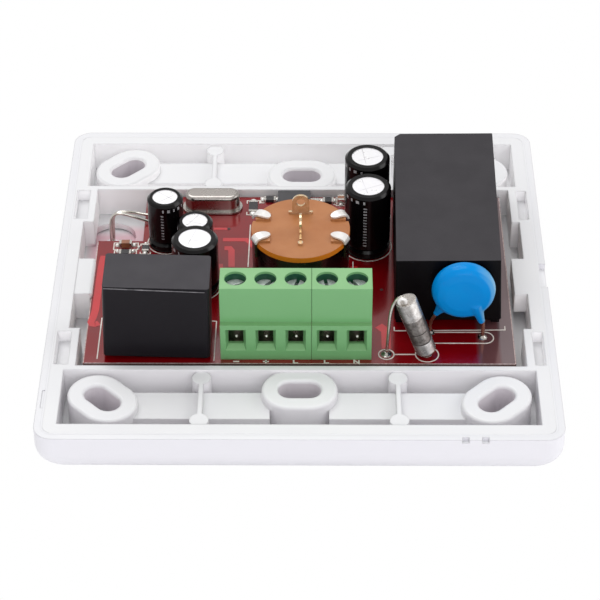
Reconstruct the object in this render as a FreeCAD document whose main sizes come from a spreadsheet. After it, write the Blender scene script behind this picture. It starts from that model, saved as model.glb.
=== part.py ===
import FreeCAD, Part
import math
import operator
import os
import Sketcher
from FreeCAD import Placement, Rotation, Vector

# Remote control dimmer for a square wall box, seen from behind with the wall plane at z = 0.
# X runs to the right, Y to the back edge of the plate and Z out of the plate's open back,
# so that the front face and its knob point down. The origin is the plate's centre.

os.makedirs("parts", exist_ok=True)
doc = FreeCAD.newDocument("remote_control_dimmer")
sheet = doc.addObject("Spreadsheet::Sheet", "Sizes")

OPERATIONS = {"+": operator.add, "-": operator.sub, "*": operator.mul, "/": operator.truediv}


class Size:
    """A length of the sheet, or a sum or share of lengths, with the words that bind it."""

    def __init__(self, value, words, plain=False):
        self.value = value
        self.words = words
        self.plain = plain

    def __add__(self, other):
        return combine(self, "+", other)

    def __radd__(self, other):
        return combine(other, "+", self)

    def __sub__(self, other):
        return combine(self, "-", other)

    def __rsub__(self, other):
        return combine(other, "-", self)

    def __mul__(self, other):
        return combine(self, "*", other)

    def __rmul__(self, other):
        return combine(other, "*", self)

    def __truediv__(self, other):
        return combine(self, "/", other)

    def __neg__(self):
        return combine(0, "-", self)

    def __float__(self):
        return float(self.value)


def as_size(number):
    if isinstance(number, Size):
        return number
    return Size(float(number), f"{float(number):.6f}", plain=True)


def combine(first, sign, second):
    first = as_size(first)
    second = as_size(second)
    value = OPERATIONS[sign](first.value, second.value)
    return Size(value, f"({first.words} {sign} {second.words})", first.plain and second.plain)


def root(area):
    """The length whose square is the area."""
    area = as_size(area)
    return Size(math.sqrt(area.value), f"sqrt({area.words})", area.plain)


class SizeSheet:
    """The driving dimensions, each one a cell of the sheet with its own alias."""

    def __init__(self):
        self.row = 0

    def add(self, numbers):
        for alias, number in numbers.items():
            self.row += 1
            sheet.set(f"A{self.row}", alias)
            sheet.set(f"B{self.row}", str(number))
            sheet.setAlias(f"B{self.row}", alias)
            setattr(self, alias, Size(float(number), "Sizes." + alias))


d = SizeSheet()
nodes = {}
lead_holes = []


def bind(item, name, length):
    """Set a property of an item, and tie it to the sheet where its size comes from there."""
    length = as_size(length)
    if length.plain:
        if not name.startswith("Placement") and not name.startswith("Attachment"):
            setattr(item, name, length.value)
        return
    item.setExpression(name, length.words)


def place(item, x, y, z, turn=None):
    """Put an item's own origin at x, y and z, turned about that point."""
    corner = Vector(float(as_size(x)), float(as_size(y)), float(as_size(z)))
    item.Placement = Placement(corner, turn or Rotation())
    for axis, where in zip("xyz", (x, y, z)):
        bind(item, "Placement.Base." + axis, where)
    return item


def keep(name, item):
    """Take an item as the finished piece of that name."""
    item.Label = name
    nodes[name] = item
    return item


def block(name, x, y, z):
    """A box from the first to the second number on each axis."""
    item = doc.addObject("Part::Box", name)
    bind(item, "Length", x[1] - x[0])
    bind(item, "Width", y[1] - y[0])
    bind(item, "Height", z[1] - z[0])
    return place(item, x[0], y[0], z[0])


def turned_block(name, centre, length, width, z, angle):
    """A box with its middle at centre in plan, its length turned by angle degrees from X."""
    item = doc.addObject("Part::Box", name)
    bind(item, "Length", length)
    bind(item, "Width", width)
    bind(item, "Height", z[1] - z[0])
    cosine = math.cos(math.radians(angle))
    sine = math.sin(math.radians(angle))
    corner_x = centre[0] - length * (cosine / 2) + width * (sine / 2)
    corner_y = centre[1] - length * (sine / 2) - width * (cosine / 2)
    return place(item, corner_x, corner_y, z[0], Rotation(Vector(0, 0, 1), angle))


def funnel(name, y, near_x, near_z, far_x, far_z):
    """A box that narrows along Y, from its near rectangle to its far one."""
    item = doc.addObject("Part::Wedge", name)
    sizes = {
        "Ymin": y[0],
        "Ymax": y[1],
        "Xmin": near_x[0],
        "Xmax": near_x[1],
        "Zmin": near_z[0],
        "Zmax": near_z[1],
        "X2min": far_x[0],
        "X2max": far_x[1],
        "Z2min": far_z[0],
        "Z2max": far_z[1],
    }
    for side, number in sizes.items():
        setattr(item, side, float(number))
        bind(item, side, number)
    return item


def rod(name, radius, x, y, z):
    """A cylinder along the axis that is given by its two ends."""
    item = doc.addObject("Part::Cylinder", name)
    bind(item, "Radius", radius)
    if isinstance(x, tuple):
        bind(item, "Height", x[1] - x[0])
        return place(item, x[0], y, z, Rotation(Vector(0, 1, 0), 90))
    if isinstance(y, tuple):
        bind(item, "Height", y[1] - y[0])
        return place(item, x, y[0], z, Rotation(Vector(1, 0, 0), -90))
    bind(item, "Height", z[1] - z[0])
    return place(item, x, y, z[0])


def fuse(name, items, refine=True):
    if len(items) == 1:
        return items[0]
    item = doc.addObject("Part::MultiFuse", name)
    item.Shapes = items
    item.Refine = refine
    return item


def cut(name, base, tools):
    item = doc.addObject("Part::Cut", name)
    item.Base = base
    item.Tool = fuse(name + "_cuts", tools, refine=False)
    return item


def group(name, items):
    """Separate solids that share one name."""
    item = doc.addObject("Part::Compound", name)
    item.Links = items
    return item


def soften(name, base, radius, test):
    """Round the edges of a base that the test picks."""
    doc.recompute()
    item = doc.addObject("Part::Fillet", name)
    item.Base = base
    picked = []
    for number, edge in enumerate(base.Shape.Edges, start=1):
        if test(edge):
            picked.append((number, float(radius), float(radius)))
    item.Edges = picked
    return item


def new_body(name):
    return doc.addObject("PartDesign::Body", name)


def sketch_on(body, name, role, offset=0):
    """A sketch on one of the body's own origin planes, moved along that plane's normal."""
    sketch = body.newObject("Sketcher::SketchObject", name)
    plane = next(item for item in body.Origin.OriginFeatures if item.Role == role)
    sketch.AttachmentSupport = [(plane, "")]
    sketch.MapMode = "FlatFace"
    sketch.AttachmentOffset = Placement(Vector(0, 0, float(as_size(offset))), Rotation())
    bind(sketch, "AttachmentOffset.Base.z", offset)
    return sketch


def tie(sketch, kind, places, length):
    """Add a dimension to a sketch and tie it to the sheet."""
    length = as_size(length)
    if length.value < 0:
        places = places[2:] + places[:2]
        length = -length
    number = sketch.addConstraint(Sketcher.Constraint(kind, *places, length.value))
    if not length.plain:
        sketch.setExpression(f"Constraints[{number}]", length.words)


def pin_point(sketch, line, point, x, y):
    """Hold a point of a sketch at x and y from the sketch's origin."""
    for kind, axis, where in (("DistanceX", -2, x), ("DistanceY", -1, y)):
        if abs(float(as_size(where))) < 1e-9:
            sketch.addConstraint(Sketcher.Constraint("PointOnObject", line, point, axis))
        else:
            tie(sketch, kind, (-1, 1, line, point), where)


def outline(sketch, corners):
    """A closed outline of straight lines through the corners."""
    start = sketch.GeometryCount
    points = [Vector(float(as_size(x)), float(as_size(y)), 0) for x, y in corners]
    count = len(points)
    for number in range(count):
        sketch.addGeometry(Part.LineSegment(points[number], points[(number + 1) % count]), False)
    for number in range(count):
        after = start + (number + 1) % count
        sketch.addConstraint(Sketcher.Constraint("Coincident", start + number, 2, after, 1))
    for number, (x, y) in enumerate(corners):
        pin_point(sketch, start + number, 1, x, y)


def ring(sketch, radius, x=0, y=0):
    """A circle about x and y."""
    centre = Vector(float(as_size(x)), float(as_size(y)), 0)
    radius = as_size(radius)
    number = sketch.addGeometry(Part.Circle(centre, Vector(0, 0, 1), radius.value), False)
    if abs(centre.x) < 1e-9 and abs(centre.y) < 1e-9:
        sketch.addConstraint(Sketcher.Constraint("Coincident", number, 3, -1, 1))
    else:
        pin_point(sketch, number, 3, x, y)
    tie(sketch, "Radius", (number,), radius)


def rounded_rectangle(sketch, half_x, half_y, corner):
    """A rectangle about the origin with four round corners."""
    a = float(half_x)
    b = float(half_y)
    r = float(corner)
    ends = [
        (-a + r, -b, a - r, -b),
        (a, -b + r, a, b - r),
        (a - r, b, -a + r, b),
        (-a, b - r, -a, -b + r),
    ]
    centres = [(a - r, -b + r), (a - r, b - r), (-a + r, b - r), (-a + r, -b + r)]
    lines = []
    arcs = []
    for number in range(4):
        x1, y1, x2, y2 = ends[number]
        side = Part.LineSegment(Vector(x1, y1, 0), Vector(x2, y2, 0))
        lines.append(sketch.addGeometry(side, False))
        circle = Part.Circle(Vector(*centres[number], 0), Vector(0, 0, 1), r)
        first = math.radians(90 * number - 90)
        arcs.append(sketch.addGeometry(Part.ArcOfCircle(circle, first, first + math.pi / 2), False))
    for number in range(4):
        after = lines[(number + 1) % 4]
        sketch.addConstraint(Sketcher.Constraint("Tangent", lines[number], 2, arcs[number], 1))
        sketch.addConstraint(Sketcher.Constraint("Tangent", arcs[number], 2, after, 1))
        direction = "Vertical" if number % 2 else "Horizontal"
        sketch.addConstraint(Sketcher.Constraint(direction, lines[number]))
    for number in range(3):
        sketch.addConstraint(Sketcher.Constraint("Equal", arcs[number], arcs[number + 1]))
    tie(sketch, "Radius", (arcs[0],), corner)
    tie(sketch, "DistanceX", (-1, 1, lines[1], 1), half_x)
    tie(sketch, "DistanceX", (lines[3], 1, -1, 1), half_x)
    tie(sketch, "DistanceY", (-1, 1, lines[2], 1), half_y)
    tie(sketch, "DistanceY", (lines[0], 1, -1, 1), half_y)


def pad(body, name, sketch, length, reverse=False):
    item = body.newObject("PartDesign::Pad", name)
    item.Profile = sketch
    bind(item, "Length", length)
    item.Reversed = reverse
    return item


def pocket(body, name, sketch, depth, reverse=False):
    doc.recompute()
    before = body.Shape.Volume
    item = body.newObject("PartDesign::Pocket", name)
    item.Profile = sketch
    bind(item, "Length", depth)
    item.Reversed = reverse
    doc.recompute()
    if body.Shape.Volume >= before:
        raise ValueError(name + " takes nothing away")
    return item


def turned_piece(name, corners):
    """A piece turned on a lathe about Z, from the outline of its section at the right."""
    body = new_body(name)
    sketch = sketch_on(body, name + "_section", "XZ_Plane")
    outline(sketch, corners)
    item = body.newObject("PartDesign::Revolution", name + "_turning")
    item.Profile = sketch
    item.ReferenceAxis = (sketch, ["V_Axis"])
    item.Angle = 360
    return body


def tube_corners(inner, outer, low, high):
    return [(inner, low), (outer, low), (outer, high), (inner, high)]


def prism(name, corners, x):
    """A bar along X with the outline of its section in Y and Z."""
    body = new_body(name)
    sketch = sketch_on(body, name + "_section", "YZ_Plane", x[0])
    outline(sketch, corners)
    pad(body, name + "_length", sketch, x[1] - x[0])
    return body


def wire_shape(points, radius):
    """A bent round wire through the points, with a ball at each bend."""
    places = [Vector(*[float(as_size(number)) for number in point]) for point in points]
    radius = float(radius)
    pieces = []
    for start, end in zip(places, places[1:]):
        run = end - start
        pieces.append(Part.makeCylinder(radius, run.Length, start, run))
    for bend in places[1:-1]:
        pieces.append(Part.makeSphere(radius, bend))
    if len(pieces) == 1:
        return pieces[0]
    return pieces[0].multiFuse(pieces[1:]).removeSplitter()


def wires(name, routes, radius):
    """Separate bent wires that share one name."""
    item = doc.addObject("Part::Feature", name)
    item.Shape = Part.makeCompound([wire_shape(points, radius) for points in routes])
    return item


def drill(x, y, radius):
    """Ask for a hole in the circuit board for a wire of that radius."""
    lead_holes.append((x, y, radius))


def half_diagonal(width, thickness):
    """The radius of the round hole that a flat pin just fits."""
    return root(width * width + thickness * thickness) / 2


# Front plate: a square moulded shell with a softly rounded front and a thin rim
PLATE_SIZES = {
    "plate_width": 86,
    "plate_corner": 3.2,
    "plate_depth": 8.8,
    "front_round": 5.6,
    "cover_rim": 1.2,
    "cover_face": 1.7,
    "bushing_radius": 3.5,
    "bushing_hole_gap": 0.1,
    "lamp_x": 34.5,
    "lamp_y": 16.2,
    "lamp_radius": 1.5,
    "lamp_gap": 0.1,
}
d.add(PLATE_SIZES)
ROUND_STEPS = 4


def soft_slab(name, half, corner, straight, rounding):
    """A square slab, flat on top, whose lower edge is rounded over to a flat front."""
    body = new_body(name)
    top = sketch_on(body, name + "_top", "XY_Plane")
    rounded_rectangle(top, half, half, corner)
    pad(body, name + "_sides", top, straight, reverse=True)
    sections = []
    for step in range(ROUND_STEPS + 1):
        angle = math.radians(90 * step / ROUND_STEPS)
        inset = rounding * (1 - math.cos(angle))
        depth = straight + rounding * math.sin(angle)
        sketch = sketch_on(body, f"{name}_section_{step}", "XY_Plane", -depth)
        rounded_rectangle(sketch, half - inset, half - inset, corner)
        sections.append(sketch)
    loft = body.newObject("PartDesign::AdditiveLoft", name + "_front")
    loft.Profile = sections[0]
    loft.Sections = sections[1:]
    return body


plate_half = d.plate_width / 2
side_height = d.plate_depth - d.front_round
cover_inside = plate_half - d.cover_rim
inside_round = d.plate_depth - d.cover_face - side_height
inside_corner = d.plate_corner - d.cover_rim
cover_floor = -(d.plate_depth - d.cover_face)
cover_front = -d.plate_depth
EDGE_CUT_SIZES = {
    "pry_slot_length": 6.5,
    "pry_slot_depth": 1.3,
    "pry_slot_shift": 0.35,
    "nick_width": 1.1,
    "nick_spacing": 3.2,
    "nick_depth": 0.7,
    "nick_share": 0.6,
    "nick_x": 28.4,
    "step_length": 4.4,
    "step_width": 0.5,
    "step_y": 33.3,
}
d.add(EDGE_CUT_SIZES)

cover_outer = soft_slab("cover_outer", plate_half, d.plate_corner, side_height, d.front_round)
cover_hollow = soft_slab("cover_hollow", cover_inside, inside_corner, side_height, inside_round)
bushing_hole = d.bushing_radius + d.bushing_hole_gap
over = d.cover_face
cover_cuts = [
    cover_hollow,
    rod("cover_bushing_hole", bushing_hole, 0, 0, (cover_front - over, 0)),
    rod("cover_lamp_hole", d.lamp_radius + d.lamp_gap, -d.lamp_x, d.lamp_y, (cover_front - over, 0)),
    block(
        "pry_slot",
        (cover_inside, plate_half + over),
        (-d.pry_slot_length / 2 - d.pry_slot_shift, d.pry_slot_length / 2 - d.pry_slot_shift),
        (-d.pry_slot_depth, over),
    ),
    block(
        "side_step",
        (-cover_inside - d.step_width, -cover_inside + over),
        (-d.step_y - d.step_length / 2, -d.step_y + d.step_length / 2),
        (-d.nick_depth, over),
    ),
]
for side in (-1, 1):
    nick_at = d.nick_x + d.nick_spacing / 2 * side
    cover_cuts.append(
        block(
            f"nick_{side + 2}",
            (nick_at - d.nick_width / 2, nick_at + d.nick_width / 2),
            (-plate_half - over, -plate_half + d.cover_rim * d.nick_share),
            (-d.nick_depth, over),
        )
    )
keep("cover_plate", cut("cover_plate", cover_outer, cover_cuts))

# Mounting frame: a moulded tray inside the front plate, with six slotted bosses for wall screws
FRAME_SIZES = {
    "frame_gap": 0.15,
    "frame_under": 0.2,
    "frame_rim": 2.35,
    "frame_floor": 1.2,
    "bay_width": 49.6,
    "channel_wall": 1.1,
    "bracket_start": 15.0,
    "bracket_wall": 1.4,
    "left_bracket_wall": 1.85,
    "pocket_width": 1.8,
    "left_pocket_shift": 0.55,
    "pocket_depth": 2.2,
    "pocket_end": 0.9,
    "boss_length": 12.6,
    "boss_width": 9.6,
    "slot_length": 7.1,
    "slot_width": 4.0,
    "boss_drop": 0.4,
    "boss_round": 0.5,
    "wall_screw_spacing": 60.3,
    "corner_boss_spacing": 64.8,
    "land_width": 6.5,
    "land_drop": 2.0,
    "land_gap": 9.7,
    "rib_place": 16.3,
    "rib_width": 0.8,
    "rib_post_radius": 1.6,
    "rib_post_inset": 1.5,
    "board_drop": 1.2,
    "board_thickness": 1.6,
    "board_left": 36.45,
    "board_right": 36.3,
    "board_front": 22.9,
    "board_back": 24.1,
    "board_notch_width": 8.1,
    "board_notch_length": 13.3,
    "clip_length": 9.9,
    "clip_nose": 0.25,
    "clip_drop": 0.15,
    "clip_round": 0.6,
    "guide_gap": 0.8,
    "lamp_window_radius": 4.1,
    "lamp_window_x": 34.4,
    "lamp_window_y": 17.9,
    "lamp_window_rise": 0.3,
    "guide_height": 4.0,
    "clip_centre": -0.6,
    "rail_place": 28.0,
    "rail_width": 2.0,
    "rail_length": 40.0,
}
d.add(FRAME_SIZES)

board_top = -d.board_drop
board_under = board_top - d.board_thickness
frame_outside = cover_inside - d.frame_gap
frame_round = inside_round - d.frame_under
frame_under = cover_floor + d.frame_under
tray_floor = frame_under + d.frame_floor
tray_half = frame_outside - d.frame_rim
bay_half = d.bay_width / 2
channel_start = bay_half + d.channel_wall
bracket_x = tray_half - d.bracket_wall
bracket_left = tray_half - d.left_bracket_wall
boss_top = -d.boss_drop

frame_slab = soft_slab("frame_slab", frame_outside, inside_corner, side_height, frame_round)
frame_cuts = [
    block("bay", (-bracket_left, bracket_x), (-bay_half, bay_half), (tray_floor, over)),
    block("bay_middle", (-tray_half, tray_half), (-d.bracket_start, d.bracket_start), (tray_floor, over)),
]
for name, start, end in (("front", -tray_half, -channel_start), ("back", channel_start, tray_half)):
    frame_cuts.append(block(name + "_channel", (-tray_half, tray_half), (start, end), (tray_floor, over)))
for side in (-1, 1):
    for end in (-1, 1):
        first = (tray_half + d.pocket_width) * side
        second = tray_half if side > 0 else d.left_pocket_shift - tray_half
        near = (d.bracket_start + d.pocket_end) * end
        far = (bay_half - d.pocket_end / 3) * end
        x = (first, second) if side < 0 else (second, first)
        y = (far, near) if end < 0 else (near, far)
        frame_cuts.append(block(f"side_pocket_{side + 2}_{end + 2}", x, y, (-d.pocket_depth, over)))


def obround(name, centre, length, width, z, angle):
    """A slot-shaped column, made of a block and two half-round ends."""
    reach = (length - width) / 2
    cosine = math.cos(math.radians(angle))
    sine = math.sin(math.radians(angle))
    pieces = [turned_block(name + "_middle", centre, length - width, width, z, angle)]
    for end in (-1, 1):
        x = centre[0] + reach * (cosine * end)
        y = centre[1] + reach * (sine * end)
        pieces.append(rod(f"{name}_end_{end + 2}", width / 2, x, y, z))
    return fuse(name, pieces)


middle_y = d.wall_screw_spacing / 2
corner_at = d.corner_boss_spacing / 2
BOSSES = [
    ("front_middle", 0, -middle_y, 0),
    ("back_middle", 0, middle_y, 0),
    ("front_left", -corner_at, -corner_at, -45),
    ("front_right", corner_at, -corner_at, 45),
    ("back_left", -corner_at, corner_at, 45),
    ("back_right", corner_at, corner_at, -45),
]
frame_pieces = []
slot_cuts = []
boss_top_number = float(boss_top)


def on_boss_top(edge):
    """True on the upper rims of a boss and its slot."""
    box = edge.BoundBox
    return abs(box.ZMin - boss_top_number) < 1e-6 and abs(box.ZMax - boss_top_number) < 1e-6


for name, x, y, angle in BOSSES:
    column_z = (tray_floor - d.frame_floor / 2, boss_top)
    column = obround(name + "_column", (x, y), d.boss_length, d.boss_width, column_z, angle)
    slot_z = (frame_under - over, over)
    slot = obround(name + "_slot", (x, y), d.slot_length, d.slot_width, slot_z, angle)
    slot_cuts.append(slot)
    boss = cut(name + "_drilled", column, [slot])
    frame_pieces.append(soften(name + "_boss", boss, d.boss_round, on_boss_top))

# Flat lands between the bosses, and a thin rib with two round posts across each channel
channel_middle = (channel_start + tray_half) / 2
for side in (-1, 1):
    for end in (-1, 1):
        land_end = corner_at - d.slot_length / 2
        x = (d.land_gap / 2, land_end) if side > 0 else (-land_end, -d.land_gap / 2)
        y = (channel_middle * end - d.land_width / 2, channel_middle * end + d.land_width / 2)
        low = tray_floor - d.frame_floor / 2
        frame_pieces.append(block(f"land_{side + 2}_{end + 2}", x, y, (low, -d.land_drop)))
        rib_x = d.rib_place * side
        x = (rib_x - d.rib_width / 2, rib_x + d.rib_width / 2)
        y = (channel_start, tray_half) if end > 0 else (-tray_half, -channel_start)
        frame_pieces.append(block(f"rib_{side + 2}_{end + 2}", x, y, (low, boss_top)))
        for number, post_y in enumerate((channel_start, tray_half)):
            inset = d.rib_post_inset * (1 if number == 0 else -1)
            post = rod(
                f"rib_post_{side + 2}_{end + 2}_{number}",
                d.rib_post_radius,
                rib_x,
                (post_y + inset) * end,
                (low, boss_top),
            )
            frame_pieces.append(post)

# Board supports: two rails under the board, a snap clip at its left and a guide at its right
for side in (-1, 1):
    rail_x = d.rail_place * side
    frame_pieces.append(
        block(
            f"board_rail_{side + 2}",
            (rail_x - d.rail_width / 2, rail_x + d.rail_width / 2),
            (-d.rail_length / 2, d.board_back - d.board_notch_length - d.rail_width / 2),
            (tray_floor - d.frame_floor / 2, board_under),
        )
    )
clip_y = (d.clip_centre - d.clip_length / 2, d.clip_centre + d.clip_length / 2)
clip_edge = -d.board_left - d.guide_gap / 4
clip_tip = -d.board_left + d.clip_nose
wall_overlap = d.frame_rim / 6
rim_top = 0
clip_top = -d.clip_drop
clip_x = (-tray_half - wall_overlap, clip_edge)
frame_pieces.append(block("board_clip", clip_x, clip_y, (tray_floor - d.frame_floor / 2, clip_top)))
clip_tip_number = float(clip_tip)


def on_clip_tip(edge):
    """True on the edges round the tip of the snap clip, without the one that holds the board."""
    box = edge.BoundBox
    return box.XMin > clip_tip_number - 1e-6 and box.ZMax > float(board_top) + 1e-6


clip_nose = block("board_clip_nose", (-tray_half, clip_tip), clip_y, (board_top, clip_top))
frame_pieces.append(soften("board_clip_tip", clip_nose, d.clip_round, on_clip_tip))
guide_x = (d.board_right + d.guide_gap, tray_half + wall_overlap)
frame_pieces.append(block("board_guide", guide_x, clip_y, (-d.guide_height, rim_top)))

lamp_window_z = (frame_under - over, tray_floor + d.lamp_window_rise)
lamp_window_at = (-d.lamp_window_x, d.lamp_window_y)
slot_cuts.append(rod("frame_bushing_hole", bushing_hole, 0, 0, (frame_under - over, over)))
slot_cuts.append(rod("lamp_window", d.lamp_window_radius, *lamp_window_at, lamp_window_z))
frame_tray = cut("frame_tray", frame_slab, frame_cuts + slot_cuts)
keep("mounting_frame", fuse("mounting_frame", [frame_tray] + frame_pieces))

# Potentiometer with a switch disc at its rear: the threaded bushing holds frame and front plate
POT_SIZES = {
    "pot_top": 10.0,
    "pot_disc_radius": 8.5,
    "pot_disc_thickness": 1.0,
    "pot_can_radius": 8.4,
    "pot_can_wall": 0.4,
    "bushing_flange": 0.8,
    "bushing_length": 6.6,
    "shaft_radius": 3.0,
    "running_gap": 0.05,
    "track_thickness": 1.0,
    "tongue_end": 12.5,
    "tongue_width": 14.0,
    "tab_width": 2.2,
    "tab_thickness": 0.4,
    "tab_reach": 2.6,
    "tab_spacing": 6.2,
    "pot_pin_spacing": 5.0,
    "pot_pin_width": 1.2,
    "pot_pin_thickness": 0.3,
}
d.add(POT_SIZES)

flange_top = tray_floor + d.bushing_flange
track_top = flange_top + d.track_thickness
disc_under = d.pot_top - d.pot_disc_thickness
can_inside = d.pot_can_radius - d.pot_can_wall
shaft_bore = d.shaft_radius + d.running_gap
bushing_end = tray_floor - d.bushing_length

bushing_section = [
    (shaft_bore, bushing_end),
    (d.bushing_radius, bushing_end),
    (d.bushing_radius, tray_floor),
    (d.pot_can_radius, tray_floor),
    (d.pot_can_radius, flange_top),
    (shaft_bore, flange_top),
]
keep("pot_bushing", turned_piece("pot_bushing", bushing_section))

track_disc = rod("track_disc", d.pot_can_radius, 0, 0, (flange_top, track_top))
tongue_x = (-d.tongue_width / 2, d.tongue_width / 2)
tongue = block("track_tongue", tongue_x, (0, d.tongue_end), (flange_top, track_top))
track_blank = fuse("track_blank", [track_disc, tongue])
below_track = flange_top - over
above_track = track_top + over
track_cuts = [rod("track_hole", shaft_bore + d.track_thickness / 4, 0, 0, (below_track, above_track))]
pot_pins = []
pin_y = d.tongue_end - d.pot_pin_width
pin_half = d.pot_pin_width / 2
for number in (-1, 0, 1):
    pin_x = d.pot_pin_spacing * number
    x = (pin_x - pin_half, pin_x + pin_half)
    y = (pin_y - d.pot_pin_thickness, pin_y)
    pot_pins.append(block(f"pot_pin_{number + 2}", x, y, (flange_top, board_top + pin_half)))
    track_cuts.append(block(f"pot_pin_slot_{number + 2}", x, y, (below_track, above_track)))
    drill(pin_x, pin_y - d.pot_pin_thickness / 2, half_diagonal(d.pot_pin_width, d.pot_pin_thickness))
keep("pot_track", cut("pot_track", track_blank, track_cuts))
keep("pot_terminals", group("pot_terminals", pot_pins))

can_section = tube_corners(can_inside, d.pot_can_radius, track_top, disc_under)
can_pieces = [turned_piece("can_tube", can_section)]
disc_cuts = []
tab_x = root(d.pot_can_radius * d.pot_can_radius - d.tab_spacing * d.tab_spacing / 4)
tab_top = d.pot_top + d.tab_thickness


def on_side(first, second, side):
    """A range of X at the right, or its mirror image at the left."""
    return (first, second) if side > 0 else (-second, -first)


for side in (-1, 1):
    for end in (-1, 1):
        tab_y = d.tab_spacing / 2 * end
        y = (tab_y - d.tab_width / 2, tab_y + d.tab_width / 2)
        name = f"tab_{side + 2}_{end + 2}"
        flat_x = on_side(tab_x - d.tab_reach, tab_x, side)
        riser_x = on_side(tab_x - d.pot_can_wall, tab_x, side)
        notch_x = on_side(tab_x - d.pot_can_wall, d.pot_disc_radius + over, side)
        can_pieces.append(block(name + "_flat", flat_x, y, (d.pot_top, tab_top)))
        can_pieces.append(block(name + "_riser", riser_x, y, (disc_under - d.tab_width, tab_top)))
        disc_cuts.append(block(name + "_notch", notch_x, y, (disc_under - over, d.pot_top + over)))
keep("pot_can", fuse("pot_can", can_pieces))
switch_blank = rod("switch_blank", d.pot_disc_radius, 0, 0, (disc_under, d.pot_top))
keep("pot_switch_disc", cut("pot_switch_disc", switch_blank, disc_cuts))

# Two plated lugs of the switch stand on the disc, one seen face on and one edge on
LUG_SIZES = {
    "lug_width": 3.0,
    "lug_height": 4.0,
    "lug_thickness": 0.4,
    "lug_hole_radius": 0.75,
    "lug_foot_width": 4.2,
    "face_lug_y": 4.2,
    "edge_lug_y": 1.6,
    "lug_foot_height": 0.5,
    "rivet_radius": 0.45,
    "rivet_y": 4.6,
}
d.add(LUG_SIZES)


def lug(name, x, y, turn):
    """A flat lug with a round head and an eye, standing on a short foot."""
    half = d.lug_width / 2
    centre_z = d.lug_height - half
    thick = (-d.lug_thickness / 2, d.lug_thickness / 2)
    plate = block(name + "_plate", (-half, half), thick, (0, centre_z))
    head = rod(name + "_head", half, 0, thick, centre_z)
    foot_x = (-d.lug_foot_width / 2, d.lug_foot_width / 2)
    foot = block(name + "_foot", foot_x, thick, (0, d.lug_foot_height))
    blank = fuse(name + "_blank", [plate, head, foot])
    eye = rod(name + "_eye", d.lug_hole_radius, 0, (-over, over), centre_z)
    return place(cut(name, blank, [eye]), x, y, d.pot_top, Rotation(Vector(0, 0, 1), turn))


face_lug = lug("face_lug", 0, d.face_lug_y, 0)
edge_lug = lug("edge_lug", 0, -d.edge_lug_y, 90)
rivet_z = (d.pot_top, d.pot_top + d.lug_foot_height)
rivet = rod("lug_rivet", d.rivet_radius, 0, -d.rivet_y, rivet_z)
keep("pot_switch_lugs", group("pot_switch_lugs", [face_lug, edge_lug, rivet]))

# Shaft with a flat for the knob, and the wiper that it carries round the track
SHAFT_SIZES = {
    "shaft_end": 19.4,
    "shaft_top": 4.0,
    "shaft_flat": 1.5,
    "shaft_flat_length": 7.5,
    "wiper_hub": 4.6,
    "wiper_thickness": 0.6,
    "wiper_reach": 6.6,
    "wiper_width": 2.2,
    "wiper_lift": 0.5,
    "contact_gap": 0.06,
}
d.add(SHAFT_SIZES)
shaft_blank = rod("shaft_blank", d.shaft_radius, 0, 0, (-d.shaft_end, d.shaft_top))
flat_x = (-d.shaft_radius - over, d.shaft_radius + over)
flat_y = (d.shaft_radius - d.shaft_flat, d.shaft_radius + over)
shaft_flat = block("shaft_flat", flat_x, flat_y, (-d.shaft_end - over, -d.shaft_end + d.shaft_flat_length))
keep("pot_shaft", cut("pot_shaft", shaft_blank, [shaft_flat]))
wiper_low = track_top + d.wiper_lift
wiper_z = (wiper_low, wiper_low + d.wiper_thickness)
wiper_hub = rod("wiper_disc", d.wiper_hub, 0, 0, wiper_z)
arm_x = (-d.wiper_width / 2, d.wiper_width / 2)
wiper_arm = block("wiper_arm", arm_x, (-d.wiper_reach, 0), wiper_z)
brush_y = (-d.wiper_reach, -d.wiper_reach + d.wiper_width / 2)
wiper_brush = block("wiper_brush", arm_x, brush_y, (track_top + d.contact_gap, wiper_low))
wiper_blank = fuse("wiper_blank", [wiper_hub, wiper_arm, wiper_brush])
wiper_bore = rod("wiper_bore", d.shaft_radius, 0, 0, (track_top, wiper_low + over))
keep("pot_wiper", cut("pot_wiper", wiper_blank, [wiper_bore]))

# Washer and nut on the bushing, outside the front plate and inside the knob's skirt
NUT_SIZES = {
    "washer_radius": 6.0,
    "washer_thickness": 0.5,
    "nut_flats": 10.0,
    "nut_thickness": 2.0,
    "thread_gap": 0.02,
}
d.add(NUT_SIZES)
washer_low = cover_front - d.washer_thickness
nut_low = washer_low - d.nut_thickness
washer_section = tube_corners(bushing_hole, d.washer_radius, washer_low, cover_front)
keep("pot_washer", turned_piece("pot_washer", washer_section))
nut_body = new_body("pot_nut")
nut_sketch = sketch_on(nut_body, "nut_outline", "XY_Plane", nut_low)
nut_corner = d.nut_flats / math.sqrt(3)
nut_corners = []
for number in range(6):
    angle = math.radians(60 * number + 30)
    nut_corners.append((nut_corner * math.cos(angle), nut_corner * math.sin(angle)))
outline(nut_sketch, nut_corners)
ring(nut_sketch, d.bushing_radius + d.thread_gap)
pad(nut_body, "nut_height", nut_sketch, d.nut_thickness)
keep("pot_nut", nut_body)

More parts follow.
